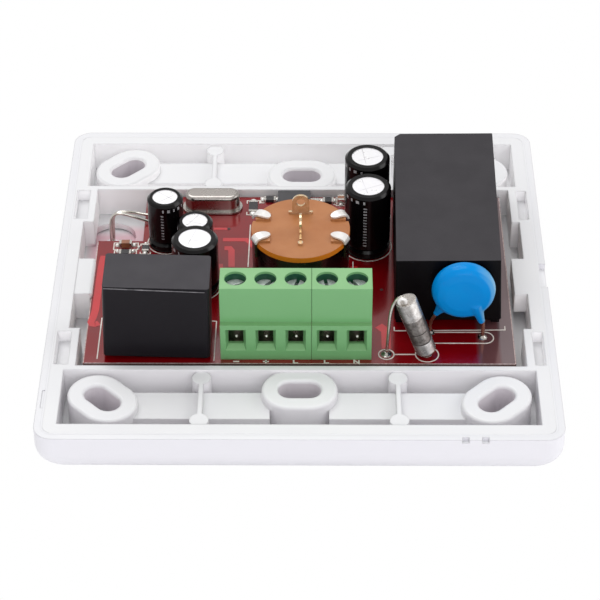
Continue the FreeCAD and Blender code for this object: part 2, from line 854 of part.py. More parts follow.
# Knob: a moulded cap with a fluted skirt, a hub for the shaft and a groove that shows its setting
KNOB_SIZES = {
    "knob_radius": 17.0,
    "knob_height": 12.6,
    "knob_gap": 0.6,
    "knob_wall": 1.8,
    "knob_hub_radius": 5.0,
    "flute_radius": 1.1,
    "flute_depth": 0.45,
    "pointer_length": 9.0,
    "pointer_width": 1.6,
    "pointer_depth": 0.5,
    "knob_edge": 1.4,
}
d.add(KNOB_SIZES)
FLUTES = 36
knob_top = cover_front - d.knob_gap
knob_low = knob_top - d.knob_height
knob_inside = knob_low + d.knob_wall
hub_top = bushing_end - d.knob_gap
knob_section = [
    (0, knob_low),
    (d.knob_radius - d.knob_edge, knob_low),
    (d.knob_radius, knob_low + d.knob_edge),
    (d.knob_radius, knob_top),
    (d.knob_radius - d.knob_wall, knob_top),
    (d.knob_radius - d.knob_wall, knob_inside),
    (d.knob_hub_radius, knob_inside),
    (d.knob_hub_radius, hub_top),
    (0, hub_top),
]
knob = turned_piece("knob", knob_section)
flute_sketch = sketch_on(knob, "flute_outline", "XY_Plane", knob_low + d.knob_edge * 2)
ring(flute_sketch, d.flute_radius, d.knob_radius + d.flute_radius - d.flute_depth, 0)
flute = pocket(knob, "flute", flute_sketch, d.knob_height, reverse=True)
flutes = knob.newObject("PartDesign::PolarPattern", "flutes")
flutes.Originals = [flute]
flutes.Axis = (flute_sketch, ["N_Axis"])
flutes.Angle = 360
flutes.Occurrences = FLUTES
knob.Tip = flutes
pointer_x = (-d.pointer_width / 2, d.pointer_width / 2)
pointer_y = (d.knob_radius - d.knob_edge * 2 - d.pointer_length, d.knob_radius - d.knob_edge * 2)
pointer = block("pointer_groove", pointer_x, pointer_y, (knob_low - over, knob_low + d.pointer_depth))
bore = rod("knob_bore", shaft_bore, 0, 0, (-d.shaft_end - d.running_gap, over))
key_y = (d.shaft_radius - d.shaft_flat + d.running_gap, d.shaft_radius + over)
bore_key = block("bore_key", flat_x, key_y, (-d.shaft_end - over, hub_top))
keep("knob", cut("knob_cap", knob, [pointer, cut("bore_with_key", bore, [bore_key])]))

# Terminal blocks: two moulded housings side by side, one of three ways and one of two
TERMINAL_SIZES = {
    "terminal_pitch": 5.0,
    "terminal_end": 0.1,
    "terminal_seam": 1.9,
    "terminal_seam_gap": 0.1,
    "terminal_height": 14.4,
    "terminal_front": 21.8,
    "terminal_back": 14.0,
    "terminal_step_height": 7.35,
    "terminal_step": 1.0,
    "terminal_top_back": 15.2,
    "terminal_slope": 5.4,
    "terminal_screw_y": 18.0,
    "entry_width": 3.38,
    "entry_low": 0.82,
    "entry_high": 5.2,
    "entry_depth": 1.0,
    "entry_side_bevel": 0.42,
    "entry_floor_bevel": 0.7,
    "cage_width": 3.6,
    "cage_depth": 4.0,
    "cage_height": 6.4,
    "cage_gap": 0.2,
    "cage_side": 0.6,
    "cage_foot": 0.9,
    "cage_nut": 1.6,
    "cage_travel": 2.5,
    "bar_width": 2.0,
    "bar_thickness": 0.7,
    "leg_width": 1.0,
    "leg_thickness": 0.6,
    "head_radius": 1.75,
    "head_height": 1.8,
    "thread_radius": 1.25,
    "screw_gap": 0.08,
    "screw_seat": 3.4,
    "shoulder": 0.8,
    "slot_cut_width": 0.6,
    "slot_cut_depth": 0.8,
    "pin_length": 4.3,
}
d.add(TERMINAL_SIZES)
LEFT_WAYS = 3
RIGHT_WAYS = 2

block_top = board_top + d.terminal_height
seat_z = block_top - d.screw_seat
chamber_top = seat_z - d.shoulder
cage_low = chamber_top - d.cage_gap / 2 - d.cage_travel - d.cage_height
cage_high = cage_low + d.cage_height
chamber_low = cage_low - d.cage_gap
nut_under = cage_high - d.cage_nut
bar_top = nut_under - d.cage_gap
bar_low = bar_top - d.bar_thickness
screw_y = -d.terminal_screw_y
cage_front = screw_y - d.cage_depth / 2
cage_back = screw_y + d.cage_depth / 2
chamber_front = cage_front - d.cage_gap
chamber_back = cage_back + d.cage_gap
leg_front = chamber_back + d.cage_gap / 2
leg_back = leg_front + d.leg_thickness
shank_end = bar_top + d.cage_gap / 2
housing_section = [
    (-d.terminal_front, board_top),
    (-d.terminal_front, board_top + d.terminal_step_height),
    (-d.terminal_front + d.terminal_step, board_top + d.terminal_step_height),
    (-d.terminal_front + d.terminal_step, block_top),
    (-d.terminal_top_back, block_top),
    (-d.terminal_back, block_top - d.terminal_slope),
    (-d.terminal_back, board_top),
]


def way_x(number):
    """The middle of one way, counted from the left, with the seam after the left housing's ways."""
    side = -1 if number < LEFT_WAYS else 1
    return d.terminal_seam + d.terminal_pitch * (number - LEFT_WAYS + 0.5) + d.terminal_end * side


def entry_cuts(number, x):
    """The hollows of one way: wire entry, cage chamber, screw hole and the slot for its pin."""
    name = f"way_{number}_"
    entry_x = (x - d.entry_width / 2, x + d.entry_width / 2)
    chamber_x = (x - d.cage_width / 2 - d.cage_gap, x + d.cage_width / 2 + d.cage_gap)
    leg_x = (x - d.leg_width / 2 - d.screw_gap, x + d.leg_width / 2 + d.screw_gap)
    entry_z = (d.entry_low, d.entry_high)
    throat_x = (entry_x[0] + d.entry_side_bevel, entry_x[1] - d.entry_side_bevel)
    throat_z = (d.entry_low + d.entry_floor_bevel, d.entry_high - d.entry_side_bevel)
    throat_start = -d.terminal_front + d.entry_depth
    head_hole = d.head_radius + d.screw_gap
    shank_hole = d.thread_radius + d.screw_gap
    return [
        funnel(name + "mouth", (-d.terminal_front, throat_start), entry_x, entry_z, throat_x, throat_z),
        block(name + "throat", throat_x, (throat_start, chamber_front + over), throat_z),
        block(name + "chamber", chamber_x, (chamber_front, chamber_back), (chamber_low, chamber_top)),
        rod(name + "head_hole", head_hole, x, screw_y, (seat_z, block_top + over)),
        rod(name + "shank_hole", shank_hole, x, screw_y, (chamber_top - over, seat_z + over)),
        block(name + "leg_slot", leg_x, (chamber_back - over, leg_back), (board_top - over, bar_top)),
    ]


def clamp_screw(number, x):
    """A slotted steel screw that turns in place under its shoulder."""
    name = f"clamp_screw_{number}"
    head_low = seat_z + d.screw_gap / 2
    head_high = head_low + d.head_height
    section = [
        (0, shank_end),
        (d.thread_radius, shank_end),
        (d.thread_radius, head_low),
        (d.head_radius, head_low),
        (d.head_radius, head_high),
        (0, head_high),
    ]
    body = turned_piece(name + "_blank", section)
    slot_x = (-d.head_radius - over, d.head_radius + over)
    slot_y = (-d.slot_cut_width / 2, d.slot_cut_width / 2)
    slot_z = (head_high - d.slot_cut_depth, head_high + over)
    screw = cut(name, body, [block(name + "_slot", slot_x, slot_y, slot_z)])
    return keep(name, place(screw, x, screw_y, 0, Rotation(Vector(0, 0, 1), 25 * number)))


def clamp_cage(number, x):
    """A plated cage with a threaded top, which rises and grips the wire under the bar."""
    name = f"clamp_cage_{number}"
    outer_x = (x - d.cage_width / 2, x + d.cage_width / 2)
    inner_x = (outer_x[0] + d.cage_side, outer_x[1] - d.cage_side)
    outer = block(name + "_outer", outer_x, (cage_front, cage_back), (cage_low, cage_high))
    window_z = (cage_low + d.cage_foot, nut_under)
    window = block(name + "_window", inner_x, (cage_front - over, cage_back + over), window_z)
    thread_z = (cage_low + d.cage_foot, cage_high + over)
    thread = rod(name + "_thread", d.thread_radius + d.running_gap, x, screw_y, thread_z)
    return keep(name, cut(name, outer, [window, thread]))


def terminal_pin(number, x):
    """The fixed bar of one way, bent down at the back into its board pin."""
    name = f"terminal_pin_{number}"
    bar_x = (x - d.bar_width / 2, x + d.bar_width / 2)
    leg_x = (x - d.leg_width / 2, x + d.leg_width / 2)
    bar = block(name + "_bar", bar_x, (cage_front, chamber_back), (bar_low, bar_top))
    head = block(name + "_bend", leg_x, (chamber_back - over, leg_back), (bar_low, bar_top))
    leg = block(name + "_leg", leg_x, (leg_front, leg_back), (board_top - d.pin_length, bar_top))
    drill(x, (leg_front + leg_back) / 2, half_diagonal(d.leg_width, d.leg_thickness))
    return fuse(name, [bar, head, leg])


left_cuts = []
right_cuts = []
terminal_pins = []
for number in range(LEFT_WAYS + RIGHT_WAYS):
    x = way_x(number)
    order = number + 1
    housing_cuts = left_cuts if number < LEFT_WAYS else right_cuts
    housing_cuts += entry_cuts(order, x)
    clamp_screw(order, x)
    clamp_cage(order, x)
    terminal_pins.append(terminal_pin(order, x))
keep("terminal_pins", group("terminal_pins", terminal_pins))
left_x = (d.terminal_seam - d.terminal_pitch * LEFT_WAYS - d.terminal_end * 2, d.terminal_seam)
right_end = d.terminal_seam + d.terminal_pitch * RIGHT_WAYS + d.terminal_end
right_x = (d.terminal_seam + d.terminal_seam_gap, right_end)
HOUSINGS = {"terminal_housing_3": (left_x, left_cuts), "terminal_housing_2": (right_x, right_cuts)}
for name, (x, housing_cuts) in HOUSINGS.items():
    keep(name, cut(name, prism(name + "_blank", housing_section, x), housing_cuts))

# Power module: a potted converter in a moulded box that stands on four feet
MODULE_SIZES = {
    "module_x": 25.5,
    "module_y": 5.65,
    "module_turn": -1.0,
    "module_lean": -1.3,
    "module_length": 37.8,
    "module_width": 18.2,
    "module_height": 12.5,
    "module_feet": 1.5,
    "module_wall": 1.0,
    "module_corner": 0.5,
    "module_corner_cut": 2.3,
    "module_draft": 1.5,
    "module_foot_width": 1.5,
    "module_foot_side": 0.25,
    "module_foot_end": 1.2,
    "seat_gap": 0.01,
    "module_pin_x": 6.6,
    "module_pin_y": 16.2,
    "module_pin_radius": 0.4,
    "pin_below": 1.4,
}
d.add(MODULE_SIZES)


def turned(item, x, y, z, angle, lean):
    """Put a piece that was made about its own middle on the board, turned and leaning a little."""
    level = Rotation(Vector(0, 0, 1), float(angle))
    return place(item, x, y, z, level.multiply(Rotation(Vector(0, 1, 0), float(lean))))


def lean_lift(half, lean):
    """How far a leaning piece is lifted, so that its lower feet just touch the board."""
    return half * abs(math.sin(math.radians(float(lean)))) + d.seat_gap


def tapered_box(name, half_x, half_y, corner, low, height, draft):
    """A moulded box with round corners that narrows upwards."""
    body = new_body(name)
    sketch = sketch_on(body, name + "_base", "XY_Plane", low)
    rounded_rectangle(sketch, half_x, half_y, corner)
    feature = pad(body, name + "_height", sketch, height)
    bind(feature, "TaperAngle", draft * -1)
    return body


module_half_x = d.module_width / 2
module_half_y = d.module_length / 2
module_outside = (
    module_half_x,
    module_half_y,
    d.module_corner,
    d.module_feet,
    d.module_height,
    d.module_draft,
)
module_outer = tapered_box("module_outer", *module_outside)
inner_x = module_half_x - d.module_wall
inner_y = module_half_y - d.module_wall
inner_height = d.module_height - d.module_wall
module_inside = (inner_x, inner_y, d.module_wall, d.module_feet, inner_height, d.module_draft)
module_hollow = tapered_box("module_hollow", *module_inside)
module_fill = tapered_box("module_fill", *module_inside)
case_pieces = [cut("module_shell", module_outer, [module_hollow])]
foot = d.module_foot_width
for side in (-1, 1):
    for end in (-1, 1):
        foot_x = module_half_x - d.module_foot_side
        foot_y = module_half_y - d.module_foot_end
        x = on_side(foot_x - foot, foot_x, side)
        y = on_side(foot_y - foot, foot_y, end)
        z = (0, d.module_feet + d.module_wall)
        case_pieces.append(block(f"module_foot_{side + 2}_{end + 2}", x, y, z))
module_blank = fuse("power_module_blank", case_pieces)
first_corner = turned_block(
    "first_corner",
    (-module_half_x, module_half_y),
    d.module_corner_cut,
    d.module_corner_cut,
    (-over, d.module_feet + d.module_height + over),
    45,
)
module_case = cut("power_module_case", module_blank, [first_corner])
module_potting = cut("power_module_potting", module_fill, case_pieces[1:])
module_pins = []
for side in (-1, 1):
    for end in (-1, 1):
        x = d.module_pin_x * side
        y = d.module_pin_y * end
        z = (-d.board_thickness - d.pin_below, d.module_feet)
        module_pins.append(rod(f"module_pin_{side + 2}_{end + 2}", d.module_pin_radius, x, y, z))
module_pin_group = group("power_module_pins", module_pins)
module_lift = lean_lift(module_half_x - d.module_foot_side, d.module_lean)
module_z = board_top + module_lift
for name, item in (("case", module_case), ("potting", module_potting), ("pins", module_pin_group)):
    turned(item, d.module_x, d.module_y, module_z, d.module_turn, d.module_lean)
    keep("power_module_" + name, item)


def spot(centre, angle, lean, lift, x, y):
    """Where a pin of a turned and leaning piece crosses the middle of the board's thickness."""
    lean_sine = math.sin(math.radians(float(lean)))
    lean_cosine = math.cos(math.radians(float(lean)))
    along = (x * lean_sine - lift - d.board_thickness / 2) / lean_cosine
    x = x * lean_cosine + along * lean_sine
    cosine = math.cos(math.radians(float(angle)))
    sine = math.sin(math.radians(float(angle)))
    return (centre[0] + x * cosine - y * sine, centre[1] + x * sine + y * cosine)


for side in (-1, 1):
    for end in (-1, 1):
        corner = (d.module_pin_x * side, d.module_pin_y * end)
        x, y = spot((d.module_x, d.module_y), d.module_turn, d.module_lean, module_lift, *corner)
        drill(x, y, d.module_pin_radius)


# Relay: a sealed box with a coil, an iron core and yoke, a hinged armature and one pair of contacts
RELAY_SIZES = {
    "relay_x": -24.05,
    "relay_y": -17.2,
    "relay_turn": -0.2,
    "relay_lean": 1.5,
    "relay_length": 17.9,
    "relay_width": 9.4,
    "relay_height": 14.6,
    "relay_stand": 0.4,
    "relay_wall": 0.7,
    "relay_draft": 0.6,
    "relay_base": 1.2,
    "iron_thickness": 0.8,
    "iron_width": 5.6,
    "iron_gap": 0.1,
    "coil_x": 3.3,
    "flange_size": 7.0,
    "flange_thickness": 0.6,
    "coil_length": 6.5,
    "coil_radius": 3.3,
    "barrel_radius": 1.7,
    "core_radius": 1.1,
    "pole_gap": 0.5,
    "leaf_thickness": 0.2,
    "leaf_width": 3.0,
    "contact_x": 6.2,
    "contact_radius": 0.9,
    "contact_height": 0.6,
    "contact_travel": 1.2,
    "yoke_inset": 0.45,
    "relay_pin_radius": 0.35,
    "coil_pin_x": 1.2,
    "coil_pin_y": 2.9,
}
d.add(RELAY_SIZES)
relay_centre = (d.relay_x, d.relay_y)
relay_half_x = d.relay_length / 2
relay_half_y = d.relay_width / 2
relay_inner_x = relay_half_x - d.relay_wall
relay_inner_y = relay_half_y - d.relay_wall
relay_inner_height = d.relay_height - d.relay_wall
relay_corner = d.relay_wall
relay_outside = (relay_half_x, relay_half_y, relay_corner, d.relay_stand, d.relay_height, d.relay_draft)
relay_inside = (
    relay_inner_x,
    relay_inner_y,
    relay_corner / 4,
    d.relay_stand,
    relay_inner_height,
    d.relay_draft,
)
relay_outer = tapered_box("relay_outer", *relay_outside)
relay_hollow = tapered_box("relay_hollow", *relay_inside)
relay_case = cut("relay_case", relay_outer, [relay_hollow])
base_top = d.relay_stand + d.relay_base
base_x = relay_inner_x - d.iron_gap
base_y = relay_inner_y - d.iron_gap
relay_lift = lean_lift(base_x, d.relay_lean)
base_pieces = [block("relay_base_plate", (-base_x, base_x), (-base_y, base_y), (d.relay_stand, base_top))]
for side in (-1, 1):
    for end in (-1, 1):
        x = on_side(base_x - d.relay_base, base_x, side)
        y = on_side(base_y - d.relay_base, base_y, end)
        base_pieces.append(block(f"relay_foot_{side + 2}_{end + 2}", x, y, (0, base_top)))
relay_base_blank = fuse("relay_base_blank", base_pieces)

yoke_low = base_top
yoke_back = base_x - d.yoke_inset
yoke_front = yoke_back - d.iron_thickness
plate_top = yoke_low + d.iron_thickness
lower_flange_top = plate_top + d.flange_thickness
coil_top = lower_flange_top + d.coil_length
bobbin_top = coil_top + d.flange_thickness
pole_z = bobbin_top + d.flange_thickness / 2
armature_low = pole_z + d.pole_gap
armature_top = armature_low + d.iron_thickness
leg_top = armature_low - d.iron_gap
iron_y = (-d.iron_width / 2, d.iron_width / 2)
yoke_plate = block("yoke_plate", (0, yoke_back), iron_y, (yoke_low, plate_top))
yoke_leg = block("yoke_leg", (yoke_front, yoke_back), iron_y, (yoke_low, leg_top))
core = rod("relay_core_rod", d.core_radius, d.coil_x, 0, (yoke_low, pole_z))
relay_core = fuse("relay_core", [yoke_plate, yoke_leg, core])

flange_half = d.flange_size / 2
flange_x = (d.coil_x - flange_half, d.coil_x + flange_half)
flange_y = (-flange_half, flange_half)
lower_flange = block("lower_flange", flange_x, flange_y, (plate_top, lower_flange_top))
upper_flange = block("upper_flange", flange_x, flange_y, (coil_top, bobbin_top))
barrel = rod("bobbin_barrel", d.barrel_radius, d.coil_x, 0, (plate_top, bobbin_top))
bobbin_blank = fuse("bobbin_blank", [lower_flange, upper_flange, barrel])
core_room = rod("core_room", d.core_radius, d.coil_x, 0, (yoke_low, pole_z))
relay_bobbin = cut("relay_bobbin", bobbin_blank, [core_room])
winding_z = (lower_flange_top, coil_top)
winding_blank = rod("winding_blank", d.coil_radius, d.coil_x, 0, winding_z)
barrel_room = rod("barrel_room", d.barrel_radius, d.coil_x, 0, (yoke_low, pole_z))
relay_winding = cut("relay_winding", winding_blank, [barrel_room])

armature_x = (-d.iron_thickness, yoke_back)
armature_plate = block("armature_plate", armature_x, iron_y, (armature_low, armature_top))
relay_armature = group("relay_armature", [armature_plate])
leaf_y = (-d.leaf_width / 2, d.leaf_width / 2)
leaf_z = (armature_top, armature_top + d.leaf_thickness)
leaf = block("contact_leaf", (-d.contact_x - d.contact_radius, d.coil_x), leaf_y, leaf_z)
moving_z = (armature_top - d.contact_height, armature_top)
moving_contact = rod("moving_contact", d.contact_radius, -d.contact_x, 0, moving_z)
relay_spring = fuse("relay_spring", [leaf, moving_contact])
fixed_top = armature_top - d.contact_height - d.contact_travel
fixed_pad_top = fixed_top - d.contact_height
pad_x = (-d.contact_x - d.contact_radius, -d.contact_x + d.contact_radius)
fixed_contact = rod("fixed_contact", d.contact_radius, -d.contact_x, 0, (fixed_pad_top, fixed_top))
fixed_pad = block("fixed_pad", pad_x, leaf_y, (fixed_pad_top - d.iron_thickness / 2, fixed_pad_top))
strip_x = (-d.contact_x - d.relay_pin_radius, -d.contact_x + d.relay_pin_radius)
fixed_strip = block("fixed_strip", strip_x, leaf_y, (base_top, fixed_pad_top))
below_board = -d.board_thickness - d.pin_below
contact_pin = rod("contact_pin", d.relay_pin_radius, -d.contact_x, 0, (below_board, base_top))
fixed_terminal = fuse("fixed_terminal", [fixed_contact, fixed_pad, fixed_strip, contact_pin])
pin_spots = [(-d.contact_x, 0)]
relay_pin_list = [fixed_terminal]
PIN_PLACES = [
    ("common", yoke_back - d.relay_pin_radius * 2, 0, yoke_low),
    ("coil_front", -d.coil_pin_x, -d.coil_pin_y, base_top + d.flange_thickness),
    ("coil_back", -d.coil_pin_x, d.coil_pin_y, base_top + d.flange_thickness),
]
for name, x, y, high in PIN_PLACES:
    relay_pin_list.append(rod(name + "_pin", d.relay_pin_radius, x, y, (below_board, high)))
    pin_spots.append((x, y))
pin_room = []
for number, (x, y) in enumerate(pin_spots):
    pin_room.append(rod(f"pin_room_{number}", d.relay_pin_radius, x, y, (-over, base_top + over)))
    x, y = spot(relay_centre, d.relay_turn, d.relay_lean, relay_lift, x, y)
    drill(x, y, d.relay_pin_radius)
relay_base = cut("relay_base", relay_base_blank, pin_room)
relay_pins = group("relay_pins", relay_pin_list)
RELAY = {
    "relay_case": relay_case,
    "relay_base": relay_base,
    "relay_core": relay_core,
    "relay_bobbin": relay_bobbin,
    "relay_winding": relay_winding,
    "relay_armature": relay_armature,
    "relay_spring": relay_spring,
    "relay_pins": relay_pins,
}
for name, item in RELAY.items():
    keep(name, turned(item, d.relay_x, d.relay_y, board_top + relay_lift, d.relay_turn, d.relay_lean))

# Electrolytic capacitors: a rolled aluminium can in a shrunk sleeve, closed by a rubber seal
CAPACITOR_SIZES = {
    "sleeve_wall": 0.15,
    "sleeve_edge": 0.45,
    "lip_share": 0.7,
    "foot_lip_share": 0.8,
    "bead_height": 1.6,
    "bead_depth": 0.35,
    "bead_width": 0.5,
    "seal_height": 1.3,
    "seal_inset": 0.5,
    "lead_radius": 0.3,
    "can_lift": 0.1,
    "small_can_radius": 3.15,
    "large_can_radius": 4.0,
    "small_lead_spacing": 2.5,
    "large_lead_spacing": 3.5,
    "capacitor_1_x": 11.8,
    "capacitor_1_y": 9.4,
    "capacitor_1_top": 12.2,
    "capacitor_2_x": 11.8,
    "capacitor_2_y": 18.3,
    "capacitor_2_top": 12.2,
    "capacitor_3_x": -24.0,
    "capacitor_3_y": 10.4,
    "capacitor_3_top": 9.0,
    "capacitor_4_x": -18.6,
    "capacitor_4_y": 6.1,
    "capacitor_4_top": 7.0,
    "capacitor_5_x": -18.2,
    "capacitor_5_y": -2.1,
    "capacitor_5_top": 9.4,
}
d.add(CAPACITOR_SIZES)
LARGE = (d.large_can_radius, d.large_lead_spacing)
SMALL = (d.small_can_radius, d.small_lead_spacing)
CAPACITORS = [
    (d.capacitor_1_x, d.capacitor_1_y, d.capacitor_1_top, LARGE),
    (d.capacitor_2_x, d.capacitor_2_y, d.capacitor_2_top, LARGE),
    (d.capacitor_3_x, d.capacitor_3_y, d.capacitor_3_top, SMALL),
    (d.capacitor_4_x, d.capacitor_4_y, d.capacitor_4_top, SMALL),
    (d.capacitor_5_x, d.capacitor_5_y, d.capacitor_5_top, LARGE),
]


def can_side(radius, low, top, edge):
    """The outside of a can from its foot to its top, with the rolled bead near the foot."""
    bead = low + d.bead_height
    return [
        (radius, low),
        (radius, bead - d.bead_width),
        (radius - d.bead_depth, bead),
        (radius, bead + d.bead_width),
        (radius, top - edge),
        (radius - edge, top),
    ]


cans = []
seals = []
capacitor_leads = []
for number, (x, y, top, (outer, spacing)) in enumerate(CAPACITORS, start=1):
    name = f"capacitor_sleeve_{number}"
    low = board_top + d.can_lift
    inner = outer - d.sleeve_wall
    sleeve_side = can_side(outer, low, top, d.sleeve_edge)
    inner_side = can_side(inner, low + d.sleeve_wall, top - d.sleeve_wall, d.sleeve_edge)
    foot_lip = [(outer * d.foot_lip_share, low + d.sleeve_wall), (outer * d.foot_lip_share, low)]
    top_lip = [(outer * d.lip_share, top), (outer * d.lip_share, top - d.sleeve_wall)]
    section = foot_lip[1:] + sleeve_side + top_lip + inner_side[::-1] + foot_lip[:1]
    keep(name, place(turned_piece(name, section), x, y, 0))
    seal_radius = inner - d.seal_inset
    seal_top = low + d.sleeve_wall + d.seal_height
    can_low = low + d.sleeve_wall
    can_top = top - d.sleeve_wall
    can_section = [(seal_radius, can_low)] + can_side(inner, can_low, can_top, d.sleeve_edge)
    can_section += [(0, can_top), (0, seal_top), (seal_radius, seal_top)]
    cans.append(place(turned_piece(f"capacitor_can_{number}", can_section), x, y, 0))
    seal_blank = rod(f"seal_blank_{number}", seal_radius, x, y, (can_low, seal_top))
    lead_room = []
    for side in (-1, 1):
        lead_y = y + spacing / 2 * side
        lead_z = (board_under - d.pin_below, can_low + d.seal_height / 2)
        lead = f"{number}_{side + 2}"
        capacitor_leads.append(rod("capacitor_lead_" + lead, d.lead_radius, x, lead_y, lead_z))
        lead_room.append(rod("lead_room_" + lead, d.lead_radius, x, lead_y, lead_z))
        drill(x, lead_y, d.lead_radius)
    seals.append(cut(f"capacitor_seal_{number}", seal_blank, lead_room))
keep("capacitor_cans", group("capacitor_cans", cans))
keep("capacitor_seals", group("capacitor_seals", seals))
keep("capacitor_leads", group("capacitor_leads", capacitor_leads))

# Varistor: a dipped disc that stands in front of the power module on two wire leads
VARISTOR_SIZES = {
    "varistor_x": 27.4,
    "varistor_y": 15.3,
    "varistor_z": 8.7,
    "varistor_radius": 5.4,
    "varistor_thickness": 3.8,
    "varistor_round": 1.4,
    "varistor_lead_1_x": 22.1,
    "varistor_lead_1_y": 14.6,
    "varistor_lead_2_x": 31.0,
    "varistor_lead_2_y": 15.8,
    "varistor_neck": 2.7,
    "varistor_bend_z": 1.6,
}
d.add(VARISTOR_SIZES)
varistor_y = (-d.varistor_y - d.varistor_thickness / 2, -d.varistor_y + d.varistor_thickness / 2)
varistor_blank = rod("varistor_blank", d.varistor_radius, d.varistor_x, varistor_y, d.varistor_z)
varistor_body = soften("varistor_body", varistor_blank, d.varistor_round, lambda edge: edge.Length > 10)
lead_end = board_under - d.pin_below
varistor_routes = []
for side, x, y in (
    (-1, d.varistor_lead_1_x, -d.varistor_lead_1_y),
    (1, d.varistor_lead_2_x, -d.varistor_lead_2_y),
):
    neck_x = d.varistor_x + d.varistor_neck * side
    neck_z = d.varistor_z - d.varistor_radius + d.varistor_neck / 2
    varistor_routes.append(
        [
            (x, y, lead_end),
            (x, y, d.varistor_bend_z),
            (neck_x, -d.varistor_y, neck_z),
            (neck_x, -d.varistor_y, neck_z + d.varistor_neck / 2),
        ]
    )
    drill(x, y, d.lead_radius)
varistor_leads = keep("varistor_leads", wires("varistor_leads", varistor_routes, d.lead_radius))
keep("varistor_disc", cut("varistor_disc", varistor_body, [varistor_leads]))

# Fuse: a small tube with an end cap and a wire at each end, standing aslant on the board
FUSE_SIZES = {
    "fuse_x": 21.3,
    "fuse_y": 20.3,
    "fuse_lift": 0.85,
    "fuse_tilt": 19.1,
    "fuse_length": 11.5,
    "fuse_radius": 1.6,
    "fuse_cap": 2.4,
    "fuse_cap_wall": 0.15,
    "fuse_loop": 1.0,
    "fuse_pad_x": 14.55,
}
d.add(FUSE_SIZES)
fuse_foot_z = board_top + d.fuse_lift
tube_radius = d.fuse_radius - d.fuse_cap_wall
tube_z = (d.fuse_cap_wall, d.fuse_length - d.fuse_cap_wall)
lower_cap = rod("lower_cap", d.fuse_radius, 0, 0, (0, d.fuse_cap))
upper_cap = rod("upper_cap", d.fuse_radius, 0, 0, (d.fuse_length - d.fuse_cap, d.fuse_length))
tube_room = rod("fuse_tube_room", tube_radius, 0, 0, tube_z)
FUSE = {
    "fuse_tube": group("fuse_tube", [rod("fuse_glass", tube_radius, 0, 0, tube_z)]),
    "fuse_caps": cut("fuse_caps", group("fuse_cap_blanks", [lower_cap, upper_cap]), [tube_room]),
}
fuse_turn = Rotation(Vector(0, 1, 0), -float(d.fuse_tilt))
for name, item in FUSE.items():
    keep(name, place(item, d.fuse_x, -d.fuse_y, fuse_foot_z, fuse_turn))
fuse_sine = math.sin(math.radians(float(d.fuse_tilt)))
fuse_cosine = math.cos(math.radians(float(d.fuse_tilt)))
fuse_end_x = d.fuse_x - d.fuse_length * fuse_sine
fuse_end_z = fuse_foot_z + d.fuse_length * fuse_cosine
loop_x = fuse_end_x - d.fuse_loop * fuse_sine
loop_z = fuse_end_z + d.fuse_loop * fuse_cosine
lead_end = board_under - d.pin_below
lower_route = [(d.fuse_x, -d.fuse_y, lead_end), (d.fuse_x, -d.fuse_y, fuse_foot_z - d.lead_radius / 2)]
upper_route = [
    (fuse_end_x, -d.fuse_y, fuse_end_z),
    (loop_x, -d.fuse_y, loop_z),
    (loop_x - d.fuse_loop, -d.fuse_y, loop_z),
    (d.fuse_pad_x, -d.fuse_y, fuse_end_z - d.fuse_loop * 2),
    (d.fuse_pad_x, -d.fuse_y, lead_end),
]
keep("fuse_leads", wires("fuse_leads", [lower_route, upper_route], d.lead_radius))
for x in (d.fuse_x, d.fuse_pad_x):
    drill(x, -d.fuse_y, d.lead_radius)

# Crystal: a drawn steel can on a flanged base
CRYSTAL_SIZES = {
    "crystal_x": 16.2,
    "crystal_y": 20.8,
    "crystal_length": 9.9,
    "crystal_width": 3.6,
    "crystal_height": 3.5,
    "crystal_rim": 0.5,
    "crystal_base_height": 0.4,
    "crystal_round": 0.7,
    "crystal_lead_x": 2.44,
    "crystal_lead_radius": 0.22,
}
d.add(CRYSTAL_SIZES)
crystal_centre = (-d.crystal_x, d.crystal_y)
crystal_low = board_top + d.can_lift
crystal_foot = crystal_low + d.crystal_base_height
crystal_top = board_top + d.crystal_height
crystal_top_number = float(crystal_top)
crystal_blank = obround(
    "crystal_blank", crystal_centre, d.crystal_length, d.crystal_width, (crystal_foot, crystal_top), 0
)
crystal_cap = soften(
    "crystal_cap",
    crystal_blank,
    d.crystal_round,
    lambda edge: edge.BoundBox.ZMin > crystal_top_number - 1e-6,
)
flange_length = d.crystal_length + d.crystal_rim * 2
flange_width = d.crystal_width + d.crystal_rim * 2
crystal_flange = obround(
    "crystal_flange", crystal_centre, flange_length, flange_width, (crystal_low, crystal_foot), 0
)
crystal_leads = []
crystal_lead_room = []
for side in (-1, 1):
    x = d.crystal_lead_x * side - d.crystal_x
    for name, kept in (("lead", crystal_leads), ("lead_room", crystal_lead_room)):
        lead_z = (lead_end, crystal_foot)
        kept.append(rod(f"crystal_{name}_{side + 2}", d.crystal_lead_radius, x, d.crystal_y, lead_z))
    drill(x, d.crystal_y, d.crystal_lead_radius)
crystal_base = cut("crystal_base", crystal_flange, crystal_lead_room)
keep("crystal_can", group("crystal_can", [crystal_cap, crystal_base]))
keep("crystal_leads", group("crystal_leads", crystal_leads))

